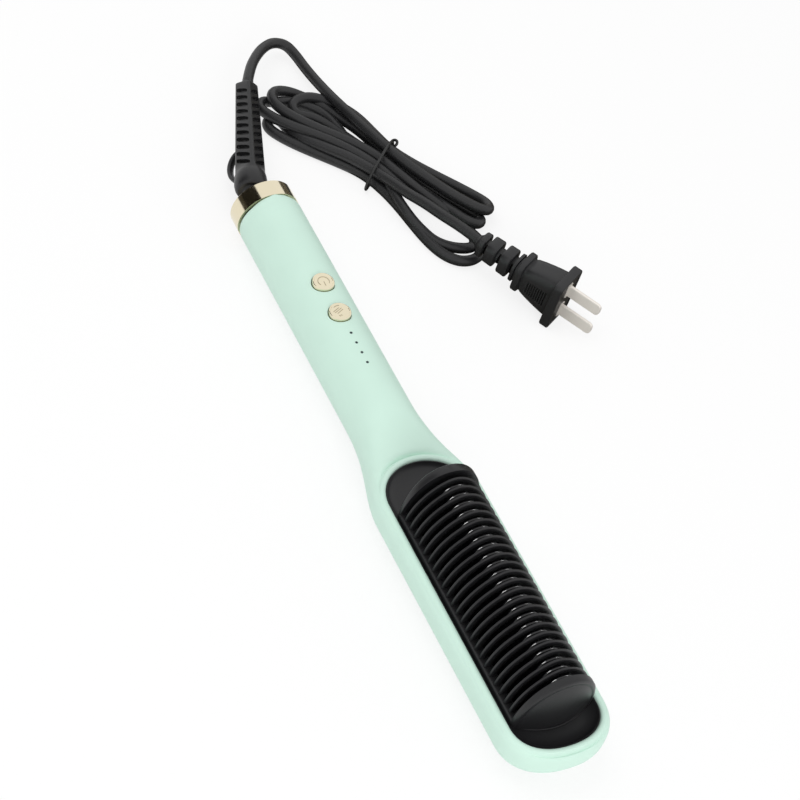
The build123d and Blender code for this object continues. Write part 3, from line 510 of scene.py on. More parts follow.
# casing: a round handle that widens into a head with a beaded opening
casing = {
    "handleRadius": 14.5, "handleStart": 8.7, "neckStart": 120.0, "neckLength": 52.0,
    "crestLength": 32.0, "halfWidth": 23.4, "rimHeight": 8.6, "belly": 14.6, "upperPower": 6.0,
    "lowerPower": 2.02, "widenEarly": 1.35,
    "tipCentre": 277.5, "tipReach": 19.6, "tipPower": 2.22, "tipUndercut": 0.6,
    "openingStart": 154.0, "openingShoulder": 172.0, "openingHalfWidth": 19.1,
    "openingStartPower": 2.05, "openingTip": 277.7, "openingReach": 14.1, "openingPower": 2.27,
    "pocketFloor": 2.85, "patchStart": 140.0,
    # the groove outside the bead: distance from the edge, and how much deeper and wider it is at each end
    "grooveFrom": 2.6, "neckGroove": (1.0, 0.1), "tipGroove": (0.85, 0.12),
    # the slope from the groove to the skin: how its rows bunch, and how soon the groove is gone
    "slopeBunch": 1.6, "sideFade": 5, "endFade": 13,
    # the parting line: rise from its height, and share of its depth
    "seamHeight": -8.5, "seamDepth": 0.4, "seamShape": ((0.3, 0), (0.13, 1), (-0.13, 1), (-0.3, 0)),
    "crossSteps": 18, "cornerSteps": 20, "sideSteps": 44, "tipSteps": 26, "slopeSteps": 12,
    "handleSteps": 44, "seamSteps": 6, "bellySteps": 13,
}
# from the opening's edge outwards: distance from the edge, and height
rimProfile = ((0.0, casing["pocketFloor"]), (0.0, 6.6), (0.03, 7.4), (0.18, 7.95), (0.55, 8.35),
              (1.1, 8.55), (1.75, 8.55), (2.25, 8.3), (2.65, 7.85), (3.0, 7.6))


def eased(share, early=1.0):
    share = min(max(share, 0.0), 1.0) ** early
    return share * share * (3 - 2 * share)


def widening(spine):
    # 0 along the handle, 1 along the head
    return eased((spine - casing["neckStart"]) / casing["neckLength"], casing["widenEarly"])


def tipShare(place):
    # 0 up to the tip's centre, 1 at the tip
    return min(max(place - casing["tipCentre"], 0), 90) / 90


def bellyDepth(spine):
    return casing["handleRadius"] + widening(spine) * (casing["belly"] - casing["handleRadius"])


def station(place):
    # the spine's x and the outline's point; past the tip's centre a place counts degrees round the tip
    c = casing
    if place <= c["tipCentre"]:
        return place, place, c["handleRadius"] + widening(place) * (c["halfWidth"] - c["handleRadius"])
    angle = math.radians(min(place - c["tipCentre"], 90))
    share = 2 / c["tipPower"]
    return (c["tipCentre"], c["tipCentre"] + c["tipReach"] * math.sin(angle) ** share,
            c["halfWidth"] * max(math.cos(angle), 0) ** share)


def sectionPower(spine, upper, tip=0.0):
    # how square the section is; the lower half is cut away under the tip
    power = 2 + widening(spine) * (casing["upperPower" if upper else "lowerPower"] - 2)
    return power if upper else power - casing["tipUndercut"] * tip


def skin(place, lift, inset=0.0):
    # a point of the casing's skin, lift degrees above or below its widest line
    c = casing
    spine, x, y = station(place)
    crest = eased((spine - c["neckStart"]) / c["crestLength"])
    top = c["handleRadius"] + crest * (c["rimHeight"] - c["handleRadius"])
    share = 2 / sectionPower(spine, lift > 0, tipShare(place))
    angle = math.radians(lift)
    out = max(math.cos(angle), 0) ** share
    up = abs(math.sin(angle)) ** share
    height = top * up if lift > 0 else max(-bellyDepth(spine) * up, -c["handleRadius"])
    reach = math.hypot(x - spine, y)
    out -= inset / reach if reach else 0
    return Vector((spine + (x - spine) * out, y * out, height))


def placeOf(x, y):
    # the place and the lift at which the skin's upper half is straight above or below a point
    c = casing
    if x <= c["tipCentre"]:
        spine, place = x, x
        share = y / station(x)[2]
    else:
        power = c["tipPower"] / 2
        ahead = ((x - c["tipCentre"]) / c["tipReach"]) ** power
        place = c["tipCentre"] + math.degrees(math.atan2(ahead, (y / c["halfWidth"]) ** power))
        spine, outX, outY = station(place)
        share = math.hypot(x - spine, y) / math.hypot(outX - spine, outY)
    power = sectionPower(spine, True)
    return place, math.degrees(math.acos(min(1, share ** (power / 2))))


def lowerLifts(place):
    # lifts from the widest line down to the belly, with the groove of the parting line among them
    c = casing
    spine = station(place)[0]
    bottom = bellyDepth(spine)
    power = sectionPower(spine, False, tipShare(place))

    def liftAt(height):
        return math.degrees(math.asin((-height / bottom) ** (power / 2)))

    seam = [(liftAt(c["seamHeight"] + rise), depth * c["seamDepth"]) for rise, depth in c["seamShape"]]
    first, last, steps = seam[0][0], seam[-1][0], c["bellySteps"]
    above = [(first * step / c["seamSteps"], 0) for step in range(c["seamSteps"])]
    below = [(last + (90 - last) * step / steps, 0) for step in range(1, steps + 1)]
    return [(-lift, depth) for lift, depth in above + seam + below]


def openingEdge(startSteps, sideSteps, tipSteps):
    # one side of the opening, from the handle's end to the tip
    c = casing
    edge = []
    share = 2 / c["openingStartPower"]
    for step in range(startSteps):
        angle = math.pi / 2 * step / startSteps
        back = (c["openingShoulder"] - c["openingStart"]) * math.cos(angle) ** share
        edge.append((c["openingShoulder"] - back, c["openingHalfWidth"] * math.sin(angle) ** share))
    for step in range(sideSteps):
        ahead = (c["openingTip"] - c["openingShoulder"]) * step / sideSteps
        edge.append((c["openingShoulder"] + ahead, c["openingHalfWidth"]))
    share = 2 / c["openingPower"]
    for step in range(tipSteps + 1):
        angle = math.pi / 2 * step / tipSteps
        edge.append((c["openingTip"] + c["openingReach"] * math.sin(angle) ** share,
                     c["openingHalfWidth"] * max(math.cos(angle), 0) ** share))
    return edge


def edgeNormals(edge):
    # outwards from the opening, at each point of its edge
    normals = []
    for index in range(len(edge)):
        before, after = edge[max(index - 1, 0)], edge[min(index + 1, len(edge) - 1)]
        normals.append(Vector((-(after[1] - before[1]), after[0] - before[0])).normalized())
    normals[0], normals[-1] = Vector((-1, 0)), Vector((1, 0))
    return normals


def rimColumn(x, y, normal, outPlace, outLift):
    # from the pocket's floor over the bead into its groove, then along the skin to a place on it
    c = casing
    ends = normal.x ** 2
    deepening, spread = c["tipGroove"] if normal.x > 0 else c["neckGroove"]
    column = []
    for distance, height in rimProfile:
        away = distance * (1 + spread * ends)
        deeper = ends * deepening if distance > c["grooveFrom"] else 0
        column.append(Vector((x + normal.x * away, max(y + normal.y * away, 0), height - deeper)))
    valley = column[-1]
    place, lift = placeOf(valley.x, valley.y)
    offset = valley - skin(place, lift)
    fade = c["sideFade"] if ends < 0.5 else c["endFade"]
    for step in range(1, c["slopeSteps"] + 1):
        share = (step / c["slopeSteps"]) ** c["slopeBunch"]
        point = skin(place + (outPlace - place) * share, lift + (outLift - lift) * share)
        column.append(point + offset * (1 - share) ** fade)
    return column


def makeCasing():
    c = casing
    crossSteps, cornerSteps, sideSteps = c["crossSteps"], c["cornerSteps"], c["sideSteps"]
    outer = [(c["patchStart"], 90 - 90 * step / crossSteps) for step in range(crossSteps)]
    outer += [(c["patchStart"] + (c["openingShoulder"] - c["patchStart"]) * step / cornerSteps, 0)
              for step in range(cornerSteps)]
    outer += [(c["openingShoulder"] + (c["tipCentre"] - c["openingShoulder"]) * step / sideSteps, 0)
              for step in range(sideSteps)]
    outer += [(c["tipCentre"] + 90 * step / c["tipSteps"], 0) for step in range(c["tipSteps"] + 1)]
    edge = openingEdge(crossSteps + cornerSteps, sideSteps, c["tipSteps"])
    columns = [rimColumn(*point, normal, *end)
               for point, normal, end in zip(edge, edgeNormals(edge), outer)]
    build = Build()
    build.grid(columns)
    # the pocket's floor
    build.grid([[column[0], Vector((column[0].x, 0, column[0].z))] for column in columns])
    # the lower half from the neck to the tip
    build.grid([[skin(place, lift, inset) for lift, inset in lowerLifts(place)]
                for place, _ in outer[crossSteps:]])
    # the handle, all round
    upper = [(90 - 90 * step / crossSteps, 0) for step in range(crossSteps)]
    rows = []
    for step in range(c["handleSteps"] + 1):
        place = c["handleStart"] + (c["patchStart"] - c["handleStart"]) * step / c["handleSteps"]
        rows.append([skin(place, lift, inset) for lift, inset in upper + lowerLifts(place)])
    build.grid(rows)
    # the handle's end, under the cap
    build.grid([rows[0], [Vector((c["handleStart"], 0, point.z)) for point in rows[0]]])
    build.mirror()
    return makePiece("casingSkin", build, "mint_plastic", ("upper_casing", "lower_casing"))


# buttons, with a power mark and a heat mark
buttons = {
    "places": {"power": 61.1, "heat": 78.3}, "sides": 64,
    # radius and height from the post up to the middle of the face
    "profile": ((2.2, 7.6), (2.2, 9.5), (6.2, 9.55), (6.2, 10.7), (4.8, 10.7), (4.8, 15.1), (4.72, 15.32),
                (4.52, 15.47), (4.25, 15.5), (4.1, 15.46), (4.0, 15.34), (3.8, 15.32), (2.0, 15.36),
                (0.6, 15.38)),
    "markFoot": 15.3, "markTop": 15.43, "markWidth": 0.28, "arcSteps": 20,
}


def arcPath(radius, start, end):
    steps = buttons["arcSteps"]
    angles = [math.radians(start + (end - start) * step / steps) for step in range(steps + 1)]
    return [(radius * math.cos(angle), radius * math.sin(angle)) for angle in angles]


marks = {
    "power": (arcPath(2.5, 52, 308), [(0.1, 0.0), (2.5, 0.0)]),
    "heat": ([(-0.4, -3.0), (-2.0, 0.2)], [(0.3, -2.5), (-1.6, 1.2)], [(0.9, -1.6), (-0.8, 1.6)],
             arcPath(3.2, 165, 212), [(1.9, -1.4), (2.5, -1.0), (1.8, -0.5), (2.4, -0.1)]),
}


def makeButton(name, place):
    build = Build()
    build.loft([roundRing(radius, radius, 2, buttons["sides"], lambda a, b: (place + a, b, height))
                for radius, height in buttons["profile"]])
    makePiece(name + "Cap", build, "gold_metal", (name + "_button",), name + "_button")
    build = Build()
    half, low, high = buttons["markWidth"] / 2, buttons["markFoot"], buttons["markTop"]
    for stroke in marks[name]:
        path = [Vector(point) for point in stroke]
        rings = []
        for point, along in zip(path, directions(path)):
            side = Vector((-along.y, along.x)) * half
            a, b = point + side, point - side
            rings.append([(place + q.x, q.y, z) for q, z in ((a, low), (a, high), (b, high), (b, low))])
        build.loft(rings)
    makePiece(name + "Mark", build, "mark_ink", (), name + "_button")


for buttonName, buttonPlace in buttons["places"].items():
    makeButton(buttonName, buttonPlace)
print("buttons made")

# round holes through the casing's skin
lenses = {"first": 89.64, "pitch": 5.45, "count": 4}
holes = (
    # buttons and lenses
    {"places": tuple(buttons["places"].values()), "radius": 5.15, "low": 9.5, "high": 18, "sides": 64},
    {"places": [lenses["first"] + lenses["pitch"] * index for index in range(lenses["count"])],
     "radius": 0.66, "low": 12, "high": 18, "sides": 24},
    # screws
    {"places": (24.0, 128.0, 160.0, 282.02), "radius": 2.5, "low": -18, "high": -11.5, "sides": 40},
)


def drill(build, places, radius, low, high, sides):
    for x in places:
        build.loft([roundRing(radius, radius, 2, sides, lambda a, b: (x + a, b, z)) for z in (low, high)])


casingSkin = makeCasing()
subdivide(casingSkin)
bores = Build()
for hole in holes:
    drill(bores, **hole)
cut(casingSkin, bores)
print("casing made:", len(casingSkin.data.polygons), "faces")


# comb tray: a floor inside the opening with an upturned edge
tray = {"floor": 4.4, "underside": 2.9, "edgeTop": 7.55, "gap": 0.12, "steps": (30, 20, 30)}


def makeTray():
    gap, top, floor = tray["gap"], tray["edgeTop"], tray["floor"]
    edge = openingEdge(*tray["steps"])
    half = list(zip(edge, edgeNormals(edge)))
    around = half + [((x, -y), Vector((n.x, -n.y))) for (x, y), n in reversed(half[1:-1])]
    # distance in from the opening's edge, and height
    profile = ((gap, tray["underside"]), (gap, top - 0.15), (gap + 0.12, top), (gap + 0.4, top - 0.1),
               (gap + 1.2, floor + 1.7), (gap + 2.4, floor + 1.0), (gap + 3.8, floor + 0.4),
               (gap + 5.4, floor + 0.1), (gap + 7.0, floor))
    build = Build()
    build.loft([[(x - n.x * inset, y - n.y * inset, height) for (x, y), n in around]
                for inset, height in profile])
    makePiece("trayLiner", build, "black_plastic", ("comb_tray",))


makeTray()
print("tray made")


# comb guard: ribs, two side rails and two end plates
combGuard = {
    "ribs": 23, "firstRib": 180.76, "pitch": 4.157, "thickness": 1.15, "depth": 3.2,
    "halfWidth": 17.2, "foot": 9.0, "height": 21.8, "power": 1.8, "footOverlap": 0.3, "ribSteps": 44,
    # the rib's rounded edge, as share of half the thickness and depth; then the bevel of its inner side
    "ribEdge": ((1.0, 0.55), (0.8, 0.18), (0.35, 0.0)), "ribBack": (0.7, 0.2),
    "railInside": 13.2, "railOutside": 17.8, "railBottom": 4.5, "railTop": 9.0, "railBevel": 0.5,
    # the rail's outer edge: distance in and down, and how far the rail goes into the two end plates
    "railEdge": ((0.0, 0.5), (0.2, 0.12), (0.6, 0.0)), "railOverlap": (1.0, 0.4),
    "rearPlate": 177.5, "rearEdge": 3.9, "rearFoot": 6.6,
    "frontPlate": 275.72, "frontEdge": 2.9, "frontFoot": 6.2,
    "platePower": 2.15, "plateSteps": 48, "plateFlat": 0.3, "plateThin": 0.9,
    # the end plate's rounded edge: share of the way out, and lift; then the dome's rings
    "plateEdge": ((1.0, -0.35), (0.985, -0.1), (0.96, 0.0), (0.93, 0.0), (0.905, -0.35), (0.88, -0.4)),
    "domeRings": (0.84, 0.76, 0.66, 0.54, 0.4, 0.25, 0.1), "domeLift": -0.3,
    "lipHalfWidth": 17.4, "lipSpread": 18.1, "lipBack": 0.1, "lipLift": 0.25, "lipSize": (0.32, 0.42),
    "lipSteps": 32, "lipPoints": 12,
}


def archPoint(angle, half, foot, height, power):
    c, s = math.cos(angle), math.sin(angle)
    return (math.copysign(abs(c) ** (2 / power), c) * half, foot + max(s, 0) ** (2 / power) * height)


def archPath(half, foot, height, power, count):
    # evenly spaced points of an arch
    fineSteps = 400
    fine = [Vector(archPoint(math.pi * step / fineSteps, half, foot, height, power))
            for step in range(fineSteps + 1)]
    lengths = [0.0]
    for a, b in zip(fine, fine[1:]):
        lengths.append(lengths[-1] + (b - a).length)
    path, index = [], 0
    for step in range(count + 1):
        goal = lengths[-1] * step / count
        while index < fineSteps - 1 and lengths[index + 1] < goal:
            index += 1
        share = (goal - lengths[index]) / max(lengths[index + 1] - lengths[index], 1e-9)
        path.append(fine[index].lerp(fine[index + 1], min(share, 1)))
    return path


def addRib(build, x):
    g = combGuard
    half, deep = g["thickness"] / 2, g["depth"]
    narrow, less = g["ribBack"]
    outline = [(-half, deep - less)] + [(-half * share, depth) for share, depth in g["ribEdge"]]
    outline += [(-a, b) for a, b in reversed(outline)]
    outline += [(half * narrow, deep), (-half * narrow, deep)]
    path = archPath(g["halfWidth"], g["foot"] - g["footOverlap"], g["height"] + g["footOverlap"],
                    g["power"], g["ribSteps"])
    rings = []
    for point, along in zip(path, directions(path)):
        inward = Vector((-along.y, along.x))
        rings.append([(x + a, point.x + inward.x * b, point.y + inward.y * b) for a, b in outline])
    build.loft(rings)


def addEndPlate(build, start, edge, foot, side):
    # flat towards the ribs, domed on the outside, thin at the corners of its foot
    g = combGuard
    low, thin, steps = g["railBottom"], g["plateThin"], range(g["plateSteps"] + 1)

    def outline(step, reach):
        angle = math.pi * step / g["plateSteps"]
        y, z = archPoint(angle, g["railOutside"], low, g["foot"] + g["height"] - low, g["platePower"])
        return y * reach, low + (z - low) * reach, math.sin(angle)

    def ring(reach, lift):
        points = []
        for step in steps:
            y, z, up = outline(step, reach)
            rim = thin + (edge - thin) * up
            thick = foot + (rim - foot) * reach ** 2
            points.append((start + side * (thick + lift), y, z))
        return points

    flat = [(start, *outline(step, 1.0)[:2]) for step in steps]
    rows = [flat, [(start + side * g["plateFlat"], y, z) for _, y, z in flat]]
    rows += [ring(reach, lift) for reach, lift in g["plateEdge"]]
    rows += [ring(reach, g["domeLift"]) for reach in g["domeRings"]]
    rows.append([(start + side * (foot + g["domeLift"]), 0, low)] * len(steps))
    build.grid(rows)
    build.face([row[0] for row in rows] + [row[-1] for row in reversed(rows)])
    build.face(flat)


def addRails(build):
    g = combGuard
    inside, low, high, bevel = g["railInside"], g["railBottom"], g["railTop"], g["railBevel"]
    rearOverlap, frontOverlap = g["railOverlap"]
    outline = [(g["railOutside"], low)] + [(g["railOutside"] - a, high - b) for a, b in g["railEdge"]]
    outline += [(inside + bevel, high), (inside, high - bevel), (inside, low)]
    for side in (-1, 1):
        build.loft([[(x, side * y, z) for y, z in outline]
                    for x in (g["rearPlate"] - rearOverlap, g["frontPlate"] + frontOverlap)])


def addLip(build):
    # a thin bead round the foot of the front end plate
    g = combGuard
    lip = []
    for step in range(g["lipSteps"] + 1):
        y = g["lipHalfWidth"] * (step / (g["lipSteps"] / 2) - 1)
        x = g["frontPlate"] + g["frontFoot"] * (1 - (y / g["lipSpread"]) ** 2) - g["lipBack"]
        z = g["railBottom"] + g["lipLift"]
        lip.append(roundRing(*g["lipSize"], 2, g["lipPoints"], lambda a, b: (x + a, y, z + b)))
    build.loft(lip)


def makeCombGuard():
    g = combGuard
    build = Build()
    for index in range(g["ribs"]):
        addRib(build, g["firstRib"] + index * g["pitch"])
    addRails(build)
    addEndPlate(build, g["rearPlate"], g["rearEdge"], g["rearFoot"], -1)
    addEndPlate(build, g["frontPlate"], g["frontEdge"], g["frontFoot"], 1)
    addLip(build)
    makePiece("combGuard", build, "black_plastic", ("comb_guard",), sharp=50)


makeCombGuard()
print("comb guard made")


# heated comb: fins between the guard's ribs, on a flat base
heatedComb = {
    "thickness": 1.2, "start": 179.5, "end": 275.5,
    "baseHalfWidth": 14.2, "baseTop": 4.4, "baseBottom": 1.0, "basePower": 8, "basePoints": 16,
    "softSteps": 4,
    # half width and height up one side of a fin
    "fin": ((12.6, 2.8), (12.6, 7.0), (12.4, 9.5), (11.6, 12.5), (10.8, 15.5), (9.6, 18.0), (7.4, 20.0),
            (6.4, 22.2), (5.9, 24.2), (5.2, 26.0), (4.2, 27.4), (2.8, 28.3), (1.2, 28.7), (0.0, 28.8)),
    # place through the fin's thickness, and how far the rounded edge is drawn in
    "edge": ((-1, 0.42), (-0.93, 0.24), (-0.75, 0.09), (-0.4, 0.0),
             (0.4, 0.0), (0.75, 0.09), (0.93, 0.24), (1, 0.42)),
}


def smoothLine(points, steps):
    # a soft line through the points
    line = []
    last = len(points) - 1
    for index in range(last):
        before, start, end, after = [Vector(points[min(max(index + shift, 0), last)])
                                     for shift in (-1, 0, 1, 2)]
        for step in range(steps):
            t = step / steps
            line.append(0.5 * (2 * start + (end - before) * t
                               + (2 * before - 5 * start + 4 * end - after) * t * t
                               + (3 * start - before - 3 * end + after) * t * t * t))
    return line + [Vector(points[-1])]


def makeHeatedComb():
    h = heatedComb
    build = Build()
    flank = smoothLine(h["fin"], h["softSteps"])
    outline = flank + [Vector((-point.x, point.y)) for point in reversed(flank[:-1])]
    normals = [Vector((along.y, -along.x)) for along in directions(outline)]
    thin = h["thickness"] / 2
    for index in range(combGuard["ribs"]):
        x = combGuard["firstRib"] + (index + 0.5) * combGuard["pitch"]
        build.loft([[(x + share * thin, point.x - normal.x * drawn, point.y - normal.y * drawn)
                     for point, normal in zip(outline, normals)] for share, drawn in h["edge"]])
    middle, reach, half = (h["start"] + h["end"]) / 2, (h["end"] - h["start"]) / 2, h["baseHalfWidth"]
    build.loft([roundRing(reach, half, h["basePower"], h["basePoints"], lambda a, b: (middle + a, b, z))
                for z in (h["baseBottom"], h["baseTop"])])
    fins = makePiece("heatedFins", build, "heated_coating", ("heating_comb",), sharp=50)
    glintReceivers.objects.link(fins)


makeHeatedComb()
print("heated comb made")


# cord guard: a ball-ended square sleeve with notches and a hanging loop
cordGuard = {
    "pivot": (-11.0, 0.0, 0.0), "lean": 21.4, "roll": 45.0, "length": 64.5, "ringPoints": 48,
    # place along the guard, and the ball's radius there
    "ball": ((-3.6, 4.4), (-4.0, 5.9), (-3.7, 6.4), (-2.2, 7.05), (0.0, 7.4), (2.4, 7.35), (4.6, 7.1)),
    "turnLength": 6.0, "turnRings": 7, "turnFade": 1.6,
    # place along the guard, and the sleeve's side there
    "side": ((8.0, 10.7), (67.0, 7.9)), "sleeveStart": 11.0, "sleeveRings": 28, "squareness": 6.5,
    # distance back from the end, and how much smaller the sleeve is there
    "rim": ((0.3, 0.12), (0.0, 0.5)), "rimLength": 0.8, "rimSquareness": 6.0,
    "endSlant": 0.28, "slantLength": 6, "boreRadius": 2.6, "boreDepth": 2.0,
    # depth and width are shares of the half side, and the slants are those of neighbouring sides
    "notches": 11, "firstNotch": 10.8, "pitch": 4.62, "notchLength": 2.8, "notchSlants": (0.8, -0.6),
    "notchDepth": 0.34, "notchShare": 0.70, "notchPower": 3.5, "notchPoints": 20,
    # share of the notch's depth, distance out from there, and how much smaller the ring is
    "notchRings": ((1, 0.0, 0.3), (1, 0.3, 0.06), (0, 0.0, 0.0), (0, 1.2, -0.15)),
    "loopPlace": 14.8, "loopHalfLength": 9.6, "loopReach": 6.6, "loopBand": 2.2, "loopWidth": 3.4,
    "loopTurn": 0.8, "loopSteps": 32, "loopPower": 3, "loopPoints": 14,
}


def guardPoint(a, b, along):
    # a and b across the guard, square to its flat sides
    g = cordGuard
    lean, roll = math.radians(g["lean"]), math.radians(g["roll"])
    axis = Vector((-math.cos(lean), math.sin(lean), 0))
    side = Vector((math.sin(lean), math.cos(lean), 0)) * math.cos(roll) + Vector((0, 0, math.sin(roll)))
    other = axis.cross(side)
    return Vector(g["pivot"]) + side * a + other * b + axis * along


def guardEnd(a, b, along):
    # the last few millimetres lean back, so that the end is cut aslant
    g = cordGuard
    near = max(0, 1 - (g["length"] - along) / g["slantLength"])
    return guardPoint(a, b, along - g["endSlant"] * near * (a - b))


def guardHalf(along):
    (low, lowSide), (high, highSide) = cordGuard["side"]
    return (lowSide + (highSide - lowSide) * (along - low) / (high - low)) / 2


def guardRing(half, power, along):
    return roundRing(half, half, power, cordGuard["ringPoints"], lambda a, b: guardEnd(a, b, along))


def addSleeve(build):
    g = cordGuard
    rings = [guardRing(radius, 2, along) for along, radius in g["ball"]]
    ballEnd, ballRadius = g["ball"][-1]
    for step in range(1, g["turnRings"] + 1):
        # the ball turns square
        share = step / g["turnRings"]
        along = ballEnd + share * g["turnLength"]
        half = guardHalf(along) + (ballRadius - guardHalf(along)) * (1 - share) ** g["turnFade"]
        rings.append(guardRing(half, 2 + (g["squareness"] - 2) * share ** 2, along))
    start, last = g["sleeveStart"], g["sleeveRings"] - 1
    for step in range(last + 1):
        along = start + (g["length"] - g["rimLength"] - start) * step / last
        rings.append(guardRing(guardHalf(along), g["squareness"], along))
    for back, less in g["rim"]:
        along = g["length"] - back
        rings.append(guardRing(guardHalf(along) - less, g["rimSquareness"], along))
    for back in (0.0, g["boreDepth"]):
        rings.append(guardRing(g["boreRadius"], 2, g["length"] - back))
    build.loft(rings)


def addLoop(build):
    g = cordGuard
    spread = g["loopHalfLength"] - g["loopBand"] / 2
    reach = g["loopReach"] - g["loopBand"] / 2
    rings = []
    for step in range(g["loopSteps"] + 1):
        angle = math.pi * (step / g["loopSteps"] - 0.5)
        side = -guardHalf(g["loopPlace"]) - reach * math.cos(angle)
        along = g["loopPlace"] + spread * math.sin(angle)
        out = Vector((-math.cos(angle), math.sin(angle) * g["loopTurn"])).normalized()
        rings.append(roundRing(g["loopWidth"] / 2, g["loopBand"] / 2, g["loopPower"], g["loopPoints"],
                               lambda a, b: guardPoint(side + out.x * b, a, along + out.y * b)))
    build.loft(rings)


def addNotch(build, along, turn):
    # a pit in one of the four sides, with soft edges at its floor and its mouth
    g = cordGuard
    c, s = round(math.cos(math.pi / 2 * turn)), round(math.sin(math.pi / 2 * turn))
    half, slant = guardHalf(along), g["notchSlants"][turn % 2]
    rings = []
    for share, out, shrink in g["notchRings"]:
        height = half + (out - half * g["notchDepth"] * share)
        wide = half * g["notchShare"] - shrink
        tall = g["notchLength"] / 2 - shrink
        rings.append(roundRing(wide, tall, g["notchPower"], g["notchPoints"], lambda a, b: guardPoint(
            c * height - s * a, s * height + c * a, along + b + slant * a)))
    build.loft(rings)


def makeCordGuard():
    g = cordGuard
    build = Build()
    addSleeve(build)
    addLoop(build)
    piece = makePiece("cordSleeve", build, "rubber_black", ("cord_guard",), "cord", sharp=45)
    notches = Build()
    for index in range(g["notches"]):
        for turn in range(4):
            addNotch(notches, g["firstNotch"] + index * g["pitch"], turn)
    cut(piece, notches, sharp=45)


makeCordGuard()
print("cord guard made")


# plug
plug = {
    "face": (85.3, 111.3, -1.5), "yaw": 30.2, "pitch": -1.7, "ringPoints": 56,
    # place behind the front face, height, width, squareness
    "neck": ((47.4, 5.6, 5.6, 2), (46.4, 7.0, 7.0, 2), (45.9, 8.0, 8.0, 2.4), (45.5, 9.6, 9.2, 3.4),
             (45.1, 10.2, 9.8, 3.6), (43.0, 10.4, 10.0, 3.6), (42.6, 9.8, 9.4, 3.4), (42.4, 7.4, 7.4, 2),
             (41.3, 7.4, 7.4, 2), (41.0, 10.8, 10.0, 3.6), (40.6, 11.4, 10.6, 3.6),
             (36.4, 11.6, 10.8, 3.6), (36.0, 11.0, 10.2, 3.6), (35.7, 7.6, 7.6, 2), (33.6, 7.6, 7.6, 2),
             (33.3, 11.6, 10.8, 3.6), (32.9, 12.2, 11.4, 3.6), (28.9, 12.4, 11.6, 3.6),
             (28.5, 11.8, 11.0, 3.6), (28.2, 8.2, 8.2, 2), (26.8, 8.6, 8.6, 2), (26.5, 12.0, 11.4, 3.4),
             (25.2, 12.4, 11.8, 3.4), (24.8, 11.0, 10.6, 3.0), (23.9, 11.0, 10.6, 3.0),
             (23.7, 16.6, 14.0, 4.0), (23.3, 17.4, 14.6, 4.0), (21.1, 17.4, 14.6, 4.0),
             (20.7, 16.6, 14.0, 4.0), (20.5, 14.8, 12.0, 4.0), (19.6, 14.8, 12.0, 4.0),
             (19.0, 15.6, 12.6, 4.0), (16.0, 17.4, 12.9, 4.4), (12.0, 19.6, 13.1, 4.6),
             (8.0, 21.4, 13.3, 4.8), (3.6, 22.8, 13.4, 5.0)),
    # height, width and thickness; in from a face and less wide; then the dish in the front face
    "plate": (26.0, 18.6, 4.4), "plateEdge": ((0.0, 0.4), (0.25, 0.1), (0.45, 0.0)),
    "plateDish": ((0.0, 1.1), (-0.35, 1.4)), "platePower": 13, "platePoints": 64,
    "slits": 9, "firstSlit": 7.2, "slitPitch": 1.15, "slitReach": 4.4, "slitShrink": 0.12,
    "slitHalf": 0.32, "slitDrop": 0.6, "slitDepths": (5.75, 8.0), "slitPoints": 12,
    "windows": (41.7, 34.2, 27.4), "windowReach": 3.2, "windowHalf": 0.6, "windowDepths": (1.2, 8.0),
    "windowPoints": 20, "cutPower": 6,
    "pinSpacing": 12.7, "pinWidth": 6.35, "pinThickness": 1.5, "pinLength": 16.6, "pinRoot": -9.0,
    "pinPower": 7, "framePower": 8, "pinPoints": 24,
    # distance back from the pin's end, and share of its width
    "pinEnd": ((2.0, 1.0), (1.2, 0.94), (0.6, 0.82), (0.2, 0.62), (0.0, 0.4)),
    # the thin frame round each pin: place ahead of the face, and how much wider than the pin
    "pinFrame": ((-0.4, 0.95), (0.12, 0.95), (0.12, 0.5), (-0.4, 0.5)),
}


def plugPoint(up, side, ahead):
    yaw, pitch = math.radians(plug["yaw"]), math.radians(plug["pitch"])
    axis = Vector((math.cos(pitch) * math.cos(yaw), math.cos(pitch) * math.sin(yaw), math.sin(pitch)))
    upward = Vector((-math.sin(pitch) * math.cos(yaw), -math.sin(pitch) * math.sin(yaw), math.cos(pitch)))
    across = Vector((math.sin(yaw), -math.cos(yaw), 0))
    return Vector(plug["face"]) + upward * up + across * side + axis * ahead


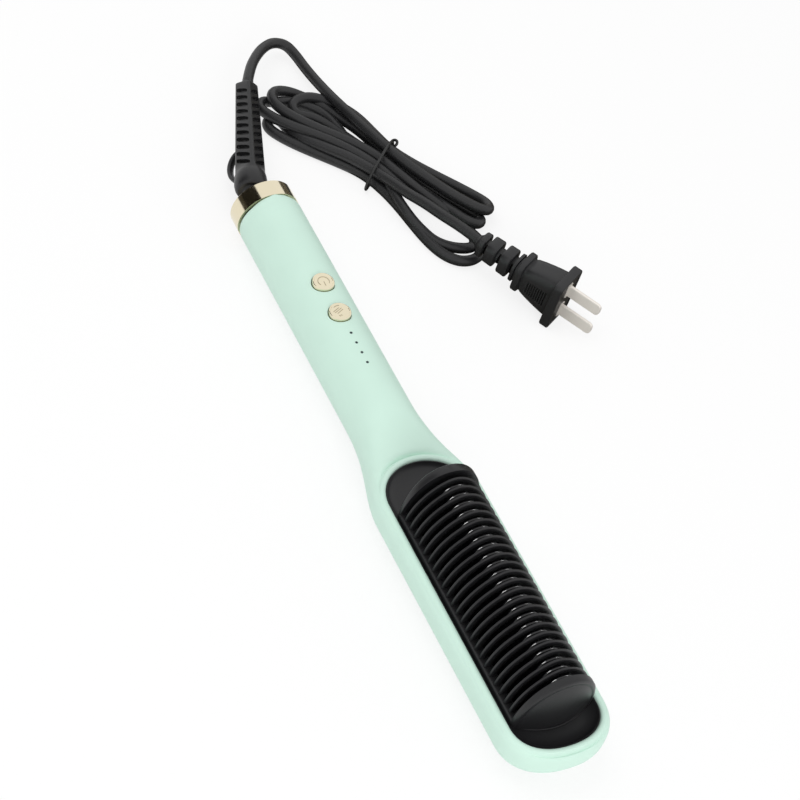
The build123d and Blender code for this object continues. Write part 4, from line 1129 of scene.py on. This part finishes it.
def makePlug():
    p = plug
    build = Build()
    build.loft([roundRing(high / 2, wide / 2, power, p["ringPoints"], lambda a, b: plugPoint(a, b, -back))
                for back, high, wide, power in p["neck"]])
    high, wide, thick = p["plate"]
    rings = [(inward - thick, less) for inward, less in p["plateEdge"]]
    rings += [(-inward, less) for inward, less in reversed(p["plateEdge"])]
    rings += p["plateDish"]
    build.loft([roundRing(high / 2 - less, wide / 2 - less, p["platePower"], p["platePoints"],
                          lambda a, b: plugPoint(a, b, ahead)) for ahead, less in rings])
    piece = makePiece("plugHousing", build, "rubber_black", ("plug_body",), "cord", sharp=40)

    cuts = Build()
    for side in (1, -1):
        for index in range(p["slits"]):
            back = p["firstSlit"] + index * p["slitPitch"]
            tall = p["slitReach"] - index * p["slitShrink"]
            cuts.loft([roundRing(tall, p["slitHalf"], p["cutPower"], p["slitPoints"],
                                 lambda a, b: plugPoint(a - p["slitDrop"], side * depth, -back + b))
                       for depth in p["slitDepths"]])
    for back in p["windows"]:
        for side in (1, -1):
            cuts.loft([roundRing(p["windowReach"], p["windowHalf"], p["cutPower"], p["windowPoints"],
                                 lambda a, b: plugPoint(a, side * depth, -back + b))
                       for depth in p["windowDepths"]])
    cut(piece, cuts, sharp=40)
    return piece


def makePins():
    p = plug
    half, wide = p["pinThickness"] / 2, p["pinWidth"] / 2
    build = Build()
    for side in (-1, 1):
        middle = side * p["pinSpacing"] / 2
        ends = [(p["pinRoot"], 1.0)] + [(p["pinLength"] - back, share) for back, share in p["pinEnd"]]
        build.loft([roundRing(half, wide * share, p["pinPower"], p["pinPoints"],
                              lambda a, b: plugPoint(middle + b, a, ahead)) for ahead, share in ends])
        ledge = [roundRing(half + grow, wide + grow, p["framePower"], p["pinPoints"],
                           lambda a, b: plugPoint(middle + b, a, ahead)) for ahead, grow in p["pinFrame"]]
        build.loft(ledge + ledge[:1], ends=False)
    return makePiece("plugBlades", build, "pin_metal", ("plug_pins",), "cord", sharp=40)


plugHousing = makePlug()
plugBlades = makePins()
print("plug made")


# wire tie round the hank
tie = {
    "ends": ((-27.4, 80.8), (-6.6, 57.6)), "wireRadius": 0.68, "along": 5, "around": 3,
    # share of the way across the hank, and height
    "band": ((0.0, -12.15), (-0.01, -9.6), (0.03, -6.8), (0.10, -4.2), (0.20, -2.2), (0.34, -1.1),
             (0.55, -2.2), (0.76, -3.3), (0.90, -4.8), (0.98, -7.4), (1.01, -10.4), (0.99, -12.35),
             (0.93, -13.75), (0.07, -13.75)),
    "ring": (-24.4, 79.0, -4.6), "ringSize": (1.7, 1.3, 1.1), "ringSteps": 8,
}


def makeTie():
    (ax, ay), (bx, by) = tie["ends"]
    band = [(ax + (bx - ax) * share, ay + (by - ay) * share, z) for share, z in tie["band"]]
    (x, y, z), (wide, deep, tall) = tie["ring"], tie["ringSize"]
    ring = []
    for step in range(tie["ringSteps"]):
        angle = 2 * math.pi * step / tie["ringSteps"]
        ring.append((x + wide * math.cos(angle), y + deep * math.sin(angle), z + tall * math.sin(angle)))
    return makeTube("hankTie", [band, ring], tie["wireRadius"], "paper_tie", ("hank_tie",),
                    tie["along"], tie["around"], closed=True)


hankTie = makeTie()
at(*cordShape["lead"][0])
